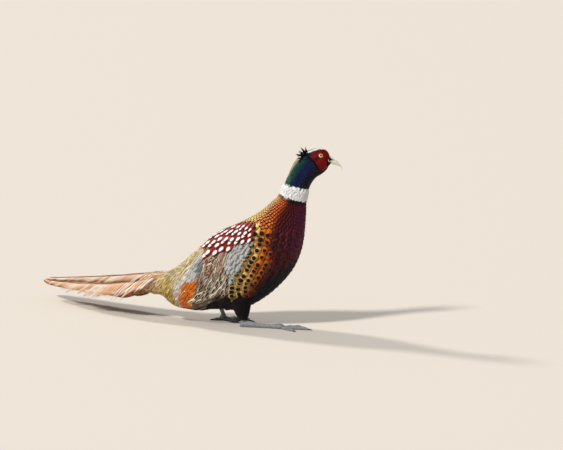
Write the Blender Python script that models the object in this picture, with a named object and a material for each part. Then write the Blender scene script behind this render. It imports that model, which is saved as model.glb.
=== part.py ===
# Common pheasant, a cock crouched in mid-step, at life size.
# X runs forward, Y to the bird's left and Z up from the floor. Sizes are in millimetres until a mesh is made.
# A place on the plumage is given as (along, angle): along runs from 0 at the tail root to 21 at the bill,
# and angle is measured round the body from the middle of the back, in degrees, positive on the right side.

import math

import bmesh
import bpy
import numpy as np

MM = 0.001
GAP = 0.3
SEED = 11

# where the hips stand in the finished frame, whose origin is under the middle of the whole bird
HIP_X = 154.4
HIP_Y = -73.9

# place along, back x, back z, belly x, belly z, half width, fullness towards the back
BODY_SECTIONS = (
    (0, -163, 88, -167, 46, 18, 0.00),
    (2, -125, 104, -123, 26, 38, 0.00),
    (3, -103, 122, -84, 23, 47, 0.04),
    (4, -75, 147, -38, 25, 54, 0.08),
    (5, -47, 167, 6, 33, 58, 0.10),
    (6, -20, 181, 49, 58, 60, 0.10),
    (7, 7, 194, 87, 95, 59, 0.06),
    (8, 30, 207, 106, 128, 53, 0.02),
    (9, 47, 219, 115, 160, 44, 0.00),
    (10, 59, 230, 119, 190, 35, 0.00),
    (11, 68, 238, 121, 213, 28, 0.00),
    (12, 74, 246, 122, 232, 24, 0.00),
    (14, 89, 280, 131.5, 266, 20, 0.00),
    (15, 98, 300, 140, 277, 19.5, -0.05),
    (16, 108, 314, 148, 282, 19, -0.10),
    (17, 121, 323.5, 154.5, 286.5, 18, -0.12),
    (18, 136, 329, 159, 291, 16.5, -0.12),
    (19, 150, 329.5, 162, 295.5, 13.5, -0.10),
    (20, 159.5, 324, 163.5, 299, 10, -0.05),
    (21, 164.5, 317.5, 164, 301.5, 6.8, 0.00),
)
RUMP_END = 2.6
NECK_START = 11.6
HEAD_START = 15.4
HEAD_END = 21
ROUND_SIDES = 28

# the rear of the body and the tail swing to the bird's left, and the head turns a little to its left
SWING_START = -80
SWING = math.radians(36)
SWING_EASE = 115
NECK_X = 93
HEAD_TURN = math.radians(20)
TURN_FROM = 215
TURN_TO = 300

EYE_PLACE = (18.47, 64)
EYE_RADIUS = 5.6
EYE_DEPTH = 3.2

BILL_BASE_X = 164.8
BILL_LENGTH = 22.2
BILL_TOP = 317.2
BILL_PARTING = 306.3
BILL_HALF_WIDTH = 6.6
LOWER_BILL_SHARE = 0.8
LOWER_BILL_DEPTH = 5.0

# the wattle's facets are flatter than the head's curve, so it stands a little clear of it
WATTLE_CLEARANCE = 0.75

TUFT_FEATHERS = 6
TUFT_LENGTH = 16
TUFT_WIDTH = 3.4

HACKLES_A_SIDE = 7
HACKLE_REACH = 36
HACKLE_WIDTH = 12
HACKLE_END = (22, 24)

VANE_THICKNESS = 0.6
WING_CLEARANCE = 0.8
WING_ROOT_DEPTH = 2.6
WING_SOLVER = "MANIFOLD"
FLIGHT_FEATHERS = 10
# shares of a feather's length from its root, and its width there as a share of the widest
QUILL = ((0, 0.26, 0.58, 0.86, 1), (0.3, 0.8, 1.0, 0.8, 0.25))
COVERT = ((0, 0.42, 0.8, 1), (0.4, 0.95, 0.88, 0.35))
SCAPULAR = ((0, 0.3, 0.62, 0.87, 1), (0.35, 0.85, 1.0, 0.78, 0.3))

TAIL_LENGTH = 380
TAIL_DROP = 53
TAIL_RIDGE = 88
TAIL_BASE_X = -163
TAIL_WIDTH = 34
TAIL_VANE_THICKNESS = 0.8
TAIL_LAYER = 1.5
TAIL_LEAN = 64
TAIL_LEAN_STEP = 3.6
# length of each pair from the middle outwards, as a share of the longest
TAIL_SHARES = (1.0, 0.93, 0.85, 0.76, 0.67, 0.58, 0.5, 0.43, 0.37)
TAIL_STATIONS = (8, 36, 70, 112, 160, 212, 268, 326)

RIGHT_FOOT = (80.3, -35)
RIGHT_HEEL_X = 14
LEFT_FOOT = (-52, 35)


def spline(places, rows, at):
    """Smooth cubic through rows of values at the given places."""
    places = np.asarray(places, float)
    rows = np.asarray(rows, float)
    at = np.clip(np.asarray(at, float), places[0], places[-1])
    step = np.diff(places)[:, None]
    slope = np.diff(rows, axis=0) / step
    tangent = np.empty_like(rows)
    tangent[1:-1] = (slope[:-1] * step[1:] + slope[1:] * step[:-1]) / (step[1:] + step[:-1])
    tangent[0] = slope[0]
    tangent[-1] = slope[-1]
    i = np.clip(np.searchsorted(places, at, side="right") - 1, 0, len(places) - 2)
    width = step[i]
    t = (at[..., None] - places[i][..., None]) / width
    return (
        (2 * t**3 - 3 * t**2 + 1) * rows[i]
        + (t**3 - 2 * t**2 + t) * width * tangent[i]
        + (3 * t**2 - 2 * t**3) * rows[i + 1]
        + (t**3 - t**2) * width * tangent[i + 1]
    )


def straight_body(along, angle):
    """Points of the plumage before the tail swings and the head turns."""
    along, angle = np.broadcast_arrays(np.asarray(along, float), np.radians(np.asarray(angle, float)))
    table = np.array(BODY_SECTIONS, float)
    row = spline(table[:, 0], table[:, 1:], along.ravel()).reshape(along.shape + (6,))
    back = row[..., 0:2]
    belly = row[..., 2:4]
    middle = (back + belly) / 2
    reach = (back - belly) / 2
    across = np.cos(angle)
    x = middle[..., 0] + reach[..., 0] * across
    z = middle[..., 1] + reach[..., 1] * across
    y = -row[..., 4] * np.sin(angle) * (1 + row[..., 5] * across)
    return np.stack([x, y, z], -1)


def swing_table():
    """Distance behind the swing's start, and the place on the swung middle line."""
    distance = np.linspace(0, 700, 1401)
    heading = SWING * (1 - np.exp(-distance / SWING_EASE))
    step = np.diff(distance)
    run = np.concatenate([[0], np.cumsum((np.cos(heading[1:]) + np.cos(heading[:-1])) / 2 * step)])
    side = np.concatenate([[0], np.cumsum((np.sin(heading[1:]) + np.sin(heading[:-1])) / 2 * step)])
    return distance, run, side


SWING_TABLE = swing_table()


def pose(points):
    """Swing what lies behind the hips and turn the head."""
    points = np.asarray(points, float)
    x, y, z = points[..., 0], points[..., 1], points[..., 2]
    behind = np.clip(SWING_START - x, 0, None)
    heading = SWING * (1 - np.exp(-behind / SWING_EASE))
    distance, run, side = SWING_TABLE
    swung_x = SWING_START - np.interp(behind, distance, run) + y * np.sin(heading)
    swung_y = np.interp(behind, distance, side) + y * np.cos(heading)
    x = np.where(behind > 0, swung_x, x)
    y = np.where(behind > 0, swung_y, y)
    rise = np.clip((z - TURN_FROM) / (TURN_TO - TURN_FROM), 0, 1)
    turn = HEAD_TURN * rise * rise * (3 - 2 * rise)
    turned_x = NECK_X + (x - NECK_X) * np.cos(turn) - y * np.sin(turn)
    turned_y = (x - NECK_X) * np.sin(turn) + y * np.cos(turn)
    front = points[..., 0] > 0
    return np.stack([np.where(front, turned_x, x), np.where(front, turned_y, y), z], -1)


def straight_normal(along, angle):
    """Outward direction of the plumage."""
    reach_along = straight_body(along + 0.02, angle) - straight_body(along - 0.02, angle)
    reach_round = straight_body(along, angle + 0.5) - straight_body(along, angle - 0.5)
    normal = np.cross(reach_round, reach_along)
    return normal / np.linalg.norm(normal, axis=-1, keepdims=True)


def body_surface(along, angle, lift=0.0):
    """Points of the posed plumage, raised by lift."""
    along, angle = np.broadcast_arrays(np.asarray(along, float), np.asarray(angle, float))
    lift = np.broadcast_to(np.asarray(lift, float), along.shape)
    inside = np.clip(along, 0.03, HEAD_END - 0.03)
    return pose(straight_body(along, angle) + straight_normal(inside, angle) * lift[..., None])


def head_side(x, z, side):
    """The place (along, angle) on the side of the straight head that is seen at x, z."""
    x, z = np.broadcast_arrays(np.asarray(x, float), np.asarray(z, float))
    along = np.full(x.shape, 18.0)
    angle = np.full(x.shape, 80.0)
    for _ in range(30):
        here = straight_body(along, angle)
        by_along = (straight_body(along + 0.01, angle) - here) / 0.01
        by_angle = (straight_body(along, angle + 0.1) - here) / 0.1
        miss_x = x - here[..., 0]
        miss_z = z - here[..., 2]
        scale = by_along[..., 0] * by_angle[..., 2] - by_along[..., 2] * by_angle[..., 0]
        move_along = (miss_x * by_angle[..., 2] - miss_z * by_angle[..., 0]) / scale
        move_angle = (miss_z * by_along[..., 0] - miss_x * by_along[..., 2]) / scale
        along = np.clip(along + np.clip(move_along, -0.5, 0.5), 14, 20.8)
        angle = np.clip(angle + np.clip(move_angle, -12, 12), 10, 168)
    return along, side * angle


def material(name, colour, roughness, metallic=0.0):
    made = bpy.data.materials.new(name)
    made.use_nodes = True
    shader = made.node_tree.nodes["Principled BSDF"]
    shader.inputs["Base Color"].default_value = (*colour, 1.0)
    shader.inputs["Roughness"].default_value = roughness
    shader.inputs["Metallic"].default_value = metallic
    return made


def mesh_object(name, points, faces, finish, collection):
    """Object from points in millimetres, with its faces turned outwards."""
    place = np.array([HIP_X, HIP_Y, 0.0])
    mesh = bpy.data.meshes.new(name)
    mesh.from_pydata(((points.reshape(-1, 3) + place) * MM).tolist(), [], faces)
    work = bmesh.new()
    work.from_mesh(mesh)
    bmesh.ops.recalc_face_normals(work, faces=work.faces)
    if work.calc_volume(signed=True) < 0:
        bmesh.ops.reverse_faces(work, faces=work.faces)
    work.to_mesh(mesh)
    work.free()
    made = bpy.data.objects.new(name, mesh)
    collection.objects.link(made)
    made.data.materials.append(finish)
    mesh.shade_smooth()
    mesh.set_sharp_from_angle(angle=math.radians(50))
    return made


def loft(name, rings, finish, collection):
    """Closed skin through rings of points, with fans at both ends."""
    rings = np.asarray(rings, float)
    count, sides, _ = rings.shape
    faces = []
    for i in range(count - 1):
        for j in range(sides):
            k = (j + 1) % sides
            a, b, c, d = i * sides + j, i * sides + k, (i + 1) * sides + k, (i + 1) * sides + j
            faces += [(a, b, c), (a, c, d)]
    last = (count - 1) * sides
    points = np.concatenate([rings.reshape(-1, 3), rings[:1].mean(1), rings[-1:].mean(1)])
    for j in range(sides):
        k = (j + 1) % sides
        faces += [(k, j, count * sides), (last + j, last + k, count * sides + 1)]
    return mesh_object(name, points, faces, finish, collection)


def shell(name, under, over, finish, collection, closed_round=False):
    """Plate between two like grids of points. With closed_round the rows run in a ring."""
    rows, columns, _ = under.shape
    top = rows * columns
    faces = []

    def corner(i, j):
        return (i % rows) * columns + j

    for i in range(rows if closed_round else rows - 1):
        for j in range(columns - 1):
            a, b, c, d = corner(i, j), corner(i, j + 1), corner(i + 1, j + 1), corner(i + 1, j)
            faces += [(a, b, c), (a, c, d), (top + c, top + b, top + a), (top + d, top + c, top + a)]
        for j in (0, columns - 1):
            a, b = corner(i, j), corner(i + 1, j)
            faces += [(a, b, top + b), (a, top + b, top + a)]
    if not closed_round:
        for i in (0, rows - 1):
            for j in range(columns - 1):
                a, b = corner(i, j), corner(i, j + 1)
                faces += [(a, b, top + b), (a, top + b, top + a)]
    points = np.concatenate([under.reshape(-1, 3), over.reshape(-1, 3)])
    return mesh_object(name, points, faces, finish, collection)


def body_piece(name, start, end, steps, finish, collection, lift=0.0):
    """Length of the body between two places, closed at both ends."""
    along = np.linspace(start, end, steps)[:, None]
    angle = np.arange(ROUND_SIDES)[None, :] * 360 / ROUND_SIDES
    return loft(name, body_surface(along, angle, lift), finish, collection)


def flat_soled(path, half_widths, heights, sides=8):
    """Rings of a pad or toe that runs over the floor, each with its underside at floor level."""
    path = np.asarray(path, float)
    heading = np.gradient(path, axis=0)
    heading /= np.linalg.norm(heading, axis=1, keepdims=True)
    across = np.stack([-heading[:, 1], heading[:, 0]], 1)
    turn = (np.arange(sides) + 0.5) * 2 * math.pi / sides
    fit = math.cos(math.pi / sides)
    rings = []
    for place, sideways, half_width, height in zip(path, across, half_widths, heights):
        xy = place + np.sin(turn)[:, None] * sideways * half_width / fit
        z = height / 2 * (1 + np.cos(turn) / fit)
        rings.append(np.column_stack([xy, np.maximum(z, 0)]))
    return np.array(rings)


def level_rings(centres, radii, sides=12):
    """Level circles about a list of centres."""
    turn = np.arange(sides) * 2 * math.pi / sides
    circle = np.stack([np.cos(turn), np.sin(turn), np.zeros(sides)], 1)
    return np.array([np.asarray(c, float) + circle * r for c, r in zip(centres, radii)])


def keep_largest(made):
    """Delete every closed surface of a mesh but the one that holds the most."""
    work = bmesh.new()
    work.from_mesh(made.data)
    left = set(work.faces)
    groups = []
    while left:
        first = left.pop()
        group = [first]
        queue = [first]
        while queue:
            face = queue.pop()
            for edge in face.edges:
                for other in edge.link_faces:
                    if other in left:
                        left.remove(other)
                        group.append(other)
                        queue.append(other)
        groups.append(group)
    if len(groups) > 1:
        def held(group):
            total = 0.0
            for face in group:
                corners = [v.co for v in face.verts]
                for i in range(1, len(corners) - 1):
                    total += corners[0].dot(corners[i].cross(corners[i + 1])) / 6
            return total

        groups.sort(key=held)
        extra = [face for group in groups[:-1] for face in group]
        bmesh.ops.delete(work, geom=extra, context="FACES")
        loose = [v for v in work.verts if not v.link_faces]
        bmesh.ops.delete(work, geom=loose, context="VERTS")
    work.to_mesh(made.data)
    work.free()


def apply_cut(made, operation, other=None, collection=None, solver="EXACT"):
    """Apply one Boolean to an object, with an object or a whole collection."""
    modifier = made.modifiers.new("cut", "BOOLEAN")
    modifier.operation = operation
    modifier.solver = solver
    if collection is None:
        modifier.object = other
    else:
        modifier.operand_type = "COLLECTION"
        modifier.collection = collection
    graph = bpy.context.evaluated_depsgraph_get()
    mesh = bpy.data.meshes.new_from_object(made.evaluated_get(graph))
    made.modifiers.clear()
    made.data = mesh
    keep_largest(made)


def unite(name, pieces, solver="EXACT"):
    """One closed body from overlapping closed pieces; the first gives its finish."""
    body = pieces[0]
    body.name = name
    extra = bpy.data.collections.new(name + "_pieces")
    bpy.context.scene.collection.children.link(extra)
    for piece in pieces[1:]:
        for holder in piece.users_collection:
            holder.objects.unlink(piece)
        extra.objects.link(piece)
    apply_cut(body, "UNION", collection=extra, solver=solver)
    for piece in list(extra.objects):
        bpy.data.objects.remove(piece)
    bpy.data.collections.remove(extra)
    return body


def ball(name, centre, radii, finish, collection, segments=20, rings=12):
    """Ellipsoid with its three radii along X, Y and Z."""
    work = bmesh.new()
    bmesh.ops.create_uvsphere(work, u_segments=segments, v_segments=rings, radius=1.0)
    mesh = bpy.data.meshes.new(name)
    work.to_mesh(mesh)
    work.free()
    mesh.transform(np.diag([*(np.asarray(radii, float) * MM), 1.0]).tolist())
    mesh.shade_smooth()
    made = bpy.data.objects.new(name, mesh)
    made.location = (np.asarray(centre) + np.array([HIP_X, HIP_Y, 0])) * MM
    collection.objects.link(made)
    if finish:
        made.data.materials.append(finish)
    return made


def build_rump(finish, parts, draw):
    """The rear of the body, with loose hackles that hang round the root of the tail."""
    pieces = [body_piece("rump", 0, RUMP_END - 0.02, 7, finish["rump"], parts)]
    share = np.array([0, 0.3, 0.62, 0.86, 1.0])
    spread = np.array([0.45, 0.95, 1.0, 0.7, 0.25])
    thickness = np.array([1.2, 0.8, 0.7, 0.6, 0.5])
    tail_middle = straight_body(0, np.array([0, 180]))[:, 2].mean()
    for side in (1, -1):
        for angle in fan(HACKLES_A_SIDE, 20, 152):
            start = 1.25 + 0.25 * draw.uniform(-1, 1)
            reach = HACKLE_REACH * (1 + 0.15 * draw.uniform(-1, 1))
            under = []
            over = []
            for offset in (-1, 1):
                turn = angle + offset * HACKLE_WIDTH / 2 * spread * 57.3 / 26
                root = straight_body(start, turn)
                rim = straight_body(0, turn)
                way_out = np.column_stack([0 * turn, -np.sin(np.radians(turn)), np.cos(np.radians(turn))])
                end = np.column_stack([
                    TAIL_BASE_X - reach + 0 * turn,
                    -HACKLE_END[0] * np.sin(np.radians(turn)),
                    tail_middle - 4 + HACKLE_END[1] * np.cos(np.radians(turn)),
                ])
                t = share[:, None]
                line = (1 - t) ** 2 * root + 2 * t * (1 - t) * (rim + 5 * way_out) + t**2 * end
                lift = (-1.2 + 3.6 * np.minimum(1, share / 0.3) + 0.9 * offset * spread)[:, None]
                for layer, sign in ((under, -0.5), (over, 0.5)):
                    layer.append(pose((line + way_out * (lift + sign * thickness[:, None])) * (1, side, 1)))
            pieces.append(vane(f"hackle_{len(pieces)}", under, over, finish["rump"], parts))
    unite("rump", pieces)


def eye_centre(side):
    along, angle = EYE_PLACE
    return body_surface(along, side * angle, -EYE_DEPTH)


def build_head(finish, parts, cutters):
    head = body_piece("head", HEAD_START, HEAD_END, 14, finish["neck"], parts)
    pieces = [head]
    for side in (1, -1):
        for k in range(TUFT_FEATHERS):
            u = k / (TUFT_FEATHERS - 1)
            root = straight_body(17.1 - 0.5 * u, 20 + 16 * u) - straight_normal(17.1 - 0.5 * u, 20 + 16 * u) * 2.5
            rise = math.radians(58 - 34 * u)
            way = np.array([-math.cos(rise), -0.16 - 0.2 * u, math.sin(rise)])
            across = np.cross(way, (0, 1, 0))
            length = TUFT_LENGTH * (1 - 0.35 * abs(u - 0.35))
            share = np.array([0, 0.35, 0.7, 1])
            spread = np.array([0.8, 1.0, 0.75, 0.2])
            lines = []
            for offset in (-1, 1):
                edge = root + share[:, None] * way * length + (offset * TUFT_WIDTH / 2 * spread)[:, None] * across
                lines.append(edge)
            lines = np.array(lines)
            half = np.array([0.8, 0.65, 0.5, 0.3])[None, :, None] * np.array([0, 1, 0])
            under, over = ((lines + sign * half) * (1, side, 1) for sign in (-1, 1))
            pieces.append(vane(f"tuft_{side}_{k}", pose(under), pose(over), finish["neck"], parts))
    head = unite("head", pieces)
    for side, hand in ((1, "right"), (-1, "left")):
        socket = ball(f"socket_{hand}", eye_centre(side), [EYE_RADIUS + GAP + 0.1] * 3, None, cutters, 16, 10)
        bpy.context.view_layer.update()
        apply_cut(head, "DIFFERENCE", other=socket)
    return head


def build_eyes(finish, parts):
    for side, hand in ((1, "right"), (-1, "left")):
        ball(f"eye_{hand}", eye_centre(side), [EYE_RADIUS] * 3, finish["eye"], parts, 16, 8)


def wattle_reach(turn):
    """Distance from the eye to the wattle's rim: round the eye, with a tapering lobe behind and one below."""
    def lobe(middle, spread, size):
        off = (turn - middle + 180) % 360 - 180
        return size * np.exp(-((off / spread) ** 2))

    return 9.0 + lobe(268, 27, 18.5) + lobe(183, 13, 19.0) + lobe(345, 42, 5.5) + lobe(225, 25, 5.0)


def build_wattles(finish, parts):
    """Bare red skin round each eye, thickest at its rim and swollen in its lower lobe."""
    eye = straight_body(*EYE_PLACE)
    turn = np.arange(24)[:, None] * 360 / 24
    share = np.array([0.0, 0.3, 0.75, 1.0])[None, :]
    inner = 4.9
    reach = inner + (wattle_reach(turn) - inner) * share
    x = eye[0] + reach * np.cos(np.radians(turn))
    z = eye[2] + reach * np.sin(np.radians(turn))
    z = np.minimum(z, 327.0)
    x = np.minimum(x, 163.2)
    thickness = np.array([1.5, 0.9, 1.7, 0.7])[None, :] * np.ones_like(turn)
    thickness = thickness * (1 + 0.7 * np.exp(-(((turn - 268) / 30) ** 2)) * (share > 0.3))
    for side, hand in ((1, "right"), (-1, "left")):
        along, angle = head_side(x, z, side)
        under = body_surface(along, angle, WATTLE_CLEARANCE)
        over = body_surface(along, angle, WATTLE_CLEARANCE + thickness)
        shell(f"wattle_{hand}", under, over, finish["wattle"], parts, closed_round=True)


def bill_lines(share):
    """Heights of the culmen and of the parting between the two halves."""
    culmen = BILL_TOP - 4 * share - 18 * share**2.4
    parting = BILL_PARTING - 2 * share - 9.1 * share**2.5
    return culmen, parting


def build_bill(finish, parts, cutters):
    turn = np.arange(14) * 2 * math.pi / 14
    upper = []
    for share in (0, 0.12, 0.26, 0.4, 0.54, 0.68, 0.8, 0.9, 0.97, 1.0):
        culmen, parting = bill_lines(share)
        half_width = BILL_HALF_WIDTH * max(1 - share, 0.004) ** 0.55
        x = np.full(14, BILL_BASE_X + BILL_LENGTH * share)
        height = max(culmen - parting, 0.5)
        z = parting + height * np.maximum(np.cos(turn), 0) ** 0.8
        z -= 0.15 * (1 - np.abs(np.sin(turn))) * (np.cos(turn) < 0)
        upper.append(np.column_stack([x, np.sin(turn) * half_width, z]))
    top = loft("bill_upper", pose(upper), finish["bill"], parts)
    for side, hand in ((1, "right"), (-1, "left")):
        place = pose([BILL_BASE_X + 5.2, -side * 5.6, BILL_PARTING + 4.6])
        nostril = ball(f"nostril_{hand}", place, (2.3, 1.3, 0.75), None, cutters, 10, 6)
        nostril.rotation_euler = (0, math.radians(20), HEAD_TURN)
        bpy.context.view_layer.update()
        apply_cut(top, "DIFFERENCE", other=nostril)
    lower = []
    for part in (0, 0.15, 0.3, 0.45, 0.6, 0.75, 0.88, 1.0):
        share = part * LOWER_BILL_SHARE
        _, parting = bill_lines(share)
        half_width = 0.84 * BILL_HALF_WIDTH * (1 - share) ** 0.6 * (1 - 0.75 * part**4)
        depth = LOWER_BILL_DEPTH * (1 - 0.8 * part**1.5)
        x = np.full(14, BILL_BASE_X + BILL_LENGTH * share)
        z = parting - GAP - 0.15 - depth * np.maximum(-np.cos(turn), 0) ** 0.8
        lower.append(np.column_stack([x, np.sin(turn) * half_width, z]))
    loft("bill_lower", pose(lower), finish["bill"], parts)


def body_vane(name, root, tip, lifts, width, tilt, side, shape, lines, finish, parts):
    """A feather that lies along the body from root to tip, both given as (along, angle).

    lifts are the heights of its middle line at root and tip. Its lower edge stands out by tilt over its upper one,
    so that the next feather above can lie on it. lines is 2 for a flat feather and 3 for one that follows the body.
    """
    share, spread = (np.array(row) for row in shape)
    along = root[0] + (tip[0] - root[0]) * share
    angle = root[1] + (tip[1] - root[1]) * share
    here = straight_body(along, angle)
    by_along = (straight_body(along + 0.01, angle) - here) / 0.01
    by_angle = (straight_body(along, angle + 0.1) - here) / 0.1
    way = by_along * (tip[0] - root[0]) + by_angle * (tip[1] - root[1])
    down = np.cross(way, straight_normal(along, angle))
    down /= np.linalg.norm(down, axis=1, keepdims=True)
    down *= np.sign((down * by_angle).sum(1, keepdims=True))
    along_along = (by_along**2).sum(1)
    angle_angle = (by_angle**2).sum(1)
    cross = (by_along * by_angle).sum(1)
    down_along = (by_along * down).sum(1)
    down_angle = (by_angle * down).sum(1)
    scale = along_along * angle_angle - cross**2
    step_along = (down_along * angle_angle - down_angle * cross) / scale
    step_angle = (down_angle * along_along - down_along * cross) / scale
    thickness = np.interp(share, (0, 0.3, 1), (1.1, VANE_THICKNESS, VANE_THICKNESS * 0.8))
    under = []
    over = []
    for offset in np.linspace(-1, 1, lines):
        reach = width * spread / 2 * offset
        line_along = along + step_along * reach
        line_angle = angle + step_angle * reach
        point = straight_body(line_along, line_angle)
        normal = straight_normal(line_along, line_angle)
        lift = lifts[0] + (lifts[1] - lifts[0]) * share + tilt * spread * offset / 2
        for layer, height in ((under, lift - thickness / 2), (over, lift + thickness / 2)):
            layer.append(pose((point + normal * height[:, None]) * (1, side, 1)))
    return vane(name, under, over, finish, parts)


def vane(name, under, over, finish, parts):
    """Thin closed blade between two like sets of lines that run from its root to its tip.

    Both faces are split along the same diagonals, so that a curved blade never cuts itself.
    """
    under = np.asarray(under)
    over = np.asarray(over)
    lines, steps, _ = under.shape
    count = lines * steps
    faces = []
    for i in range(lines - 1):
        for j in range(steps - 1):
            a, b, c, d = i * steps + j, i * steps + j + 1, (i + 1) * steps + j + 1, (i + 1) * steps + j
            faces += [(a, b, c), (a, c, d), (count + c, count + b, count + a), (count + d, count + c, count + a)]
    for i in (0, lines - 1):
        for j in range(steps - 1):
            a, b = i * steps + j, i * steps + j + 1
            faces += [(a, b, count + b), (a, count + b, count + a)]
    for j in (0, steps - 1):
        for i in range(lines - 1):
            a, b = i * steps + j, (i + 1) * steps + j
            faces += [(a, b, count + b), (a, count + b, count + a)]
    points = np.concatenate([under.reshape(-1, 3), over.reshape(-1, 3)])
    return mesh_object(name, points, faces, finish, parts)


def fan(count, first, last, ease=1.0):
    """Values spread from first to last."""
    return first + (last - first) * (np.arange(count) / (count - 1)) ** ease


def build_wing(side, hand, finish, parts, draw):
    """The folded wing: flight feathers, three tiers of coverts and four rows of scapulars on one flat root."""
    u = np.linspace(0, 1, 7)[:, None, None]
    v = np.linspace(0, 1, 6)[None, :, None]
    top = np.array((8.2, 30)) * (1 - u) + np.array((5.0, 27)) * u
    low = np.array((7.6, 70)) * (1 - u) + np.array((5.2, 101)) * u
    place = top * (1 - v) + low * v
    bulge = np.sqrt(np.sin(math.pi * u[..., 0]) * np.sin(math.pi * v[..., 0]) + 1e-6)
    under = body_surface(place[..., 0], side * place[..., 1], WING_CLEARANCE)
    over = body_surface(place[..., 0], side * place[..., 1], WING_CLEARANCE + 1.2 + WING_ROOT_DEPTH * bulge)
    pieces = [shell(f"wing_{hand}", under, over, finish["wing"], parts)]

    def add(root, tip, lifts, width, tilt, shape, lines):
        vary = draw.uniform(-1, 1, 4)
        root = (root[0] + 0.04 * vary[0], root[1])
        tip = (tip[0] + 0.05 * vary[1], tip[1] + 0.8 * vary[2])
        pieces.append(body_vane(f"vane_{len(pieces)}", root, tip, lifts, width * (1 + 0.04 * vary[3]), tilt, side,
                                shape, lines, finish["wing"], parts))

    for k in range(FLIGHT_FEATHERS):
        u = k / (FLIGHT_FEATHERS - 1)
        add((5.5 + 1.1 * u, 94 - 42 * u), (3.0 + 1.35 * u**1.5, 134 - 76 * u), (1.9, 3.4), 18 + 3 * u, 2.5,
            QUILL, 3)
    tiers = (
        # count, root first and last, tip first and last, tip lift, width
        (6, (6.7, 88), (6.6, 56), (4.75, 107), (5.15, 66), 6.0, 17),
        (6, (7.3, 80), (7.3, 52), (6.0, 91), (6.25, 61), 6.4, 16),
        (5, (7.9, 68), (8.0, 46), (6.95, 77), (7.1, 56), 6.2, 15),
    )
    for count, root_low, root_top, tip_low, tip_top, lift, width in tiers:
        for k in range(count):
            u = k / (count - 1)
            root = (root_low[0] + (root_top[0] - root_low[0]) * u, root_low[1] + (root_top[1] - root_low[1]) * u)
            tip = (tip_low[0] + (tip_top[0] - tip_low[0]) * u, tip_low[1] + (tip_top[1] - tip_low[1]) * u)
            add(root, tip, (1.9, lift), width, 1.7, COVERT, 2)
    rows = (
        # count, place along of the roots and of the tips, lowest and highest angle of the tips
        (4, 5.75, 4.45, 57, 29),
        (4, 6.6, 5.3, 60, 30),
        (4, 7.4, 6.2, 58, 27),
        (3, 8.0, 7.1, 52, 32),
    )
    for count, root_along, tip_along, low_angle, top_angle in rows:
        for angle in fan(count, low_angle, top_angle):
            add((root_along, angle - 7), (tip_along - 0.004 * (angle - 40), angle), (1.9, 6.4), 19, 1.7, SCAPULAR, 2)
    unite(f"wing_{hand}", pieces, WING_SOLVER)


def tail_ridge(behind):
    """Height of the tail's ridge at a distance behind the tail root."""
    share = behind / TAIL_LENGTH
    return TAIL_RIDGE - TAIL_DROP * share * (1.15 - 0.15 * share)


def tail_vane(side, index, finish, parts):
    """One tail feather. The feathers of a side lean out from the ridge, each under and steeper than the last."""
    length = TAIL_LENGTH * TAIL_SHARES[index]
    stations = [b for b in TAIL_STATIONS if b < length - 14] + [length]
    behind = np.array(stations, float)
    share = (behind - behind[0]) / (length - behind[0])
    lean = math.radians(TAIL_LEAN - TAIL_LEAN_STEP * index)
    spread = np.interp(share, (0, 0.1, 0.3, 0.55, 0.8, 0.93, 1), (0.16, 0.45, 0.85, 1.0, 0.84, 0.5, 0.12))
    spread = np.minimum(spread, np.interp(behind, (8, 36, 100), (0.16, 0.42, 1.0)))
    first = 1.2 + 0.7 * index
    shaft = np.interp(share, (0, 0.55, 1), (first + 0.42 * TAIL_WIDTH, first + 0.4 * TAIL_WIDTH, first + 3))
    shaft = np.minimum(shaft, np.interp(behind, (8, 100), (7, 30)))
    inner = np.maximum(shaft - 0.42 * TAIL_WIDTH * spread, first)
    outer = shaft + 0.58 * TAIL_WIDTH * spread
    raise_left = 0.0
    if index == 0 and side < 0:
        inner = np.where(share > 0.2, inner - 4, inner)
        raise_left = 1.3
    x = TAIL_BASE_X - behind
    thickness = np.interp(share, (0, 0.2, 1), (1.5, TAIL_VANE_THICKNESS, TAIL_VANE_THICKNESS * 0.7))
    under = []
    over = []
    for reach in (inner, outer):
        y = -side * (0.8 + math.sin(lean) * reach)
        z = tail_ridge(behind) + raise_left - TAIL_LAYER * index - math.cos(lean) * reach
        for layer, sign in ((under, -0.5), (over, 0.5)):
            away = sign * thickness
            layer.append(pose(np.column_stack([x, y - side * math.cos(lean) * away, z + math.sin(lean) * away])))
    return vane(f"tail_{side}_{index}", under, over, finish["tail"], parts)


def build_tail(finish, parts):
    """Nine pairs of tail feathers, stacked as a roof over a short fleshy root."""
    angle = np.arange(ROUND_SIDES) * 360 / ROUND_SIDES
    turn = np.radians(angle)
    rings = [straight_body(0, angle) - np.array([GAP + 0.1, 0, 0])]
    for behind, half_height, half_width in ((22, 19, 15.5), (45, 15.5, 12), (68, 11, 8.5), (92, 6.5, 5), (112, 2.5, 2)):
        x = np.full(ROUND_SIDES, TAIL_BASE_X - behind)
        z = tail_ridge(behind) - 1.5 + half_height * (np.cos(turn) - 1)
        rings.append(np.column_stack([x, -half_width * np.sin(turn), z]))
    pieces = [loft("tail", pose(rings), finish["tail"], parts)]
    for index in range(len(TAIL_SHARES)):
        for side in (1, -1):
            pieces.append(tail_vane(side, index, finish, parts))
    unite("tail", pieces)


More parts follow.
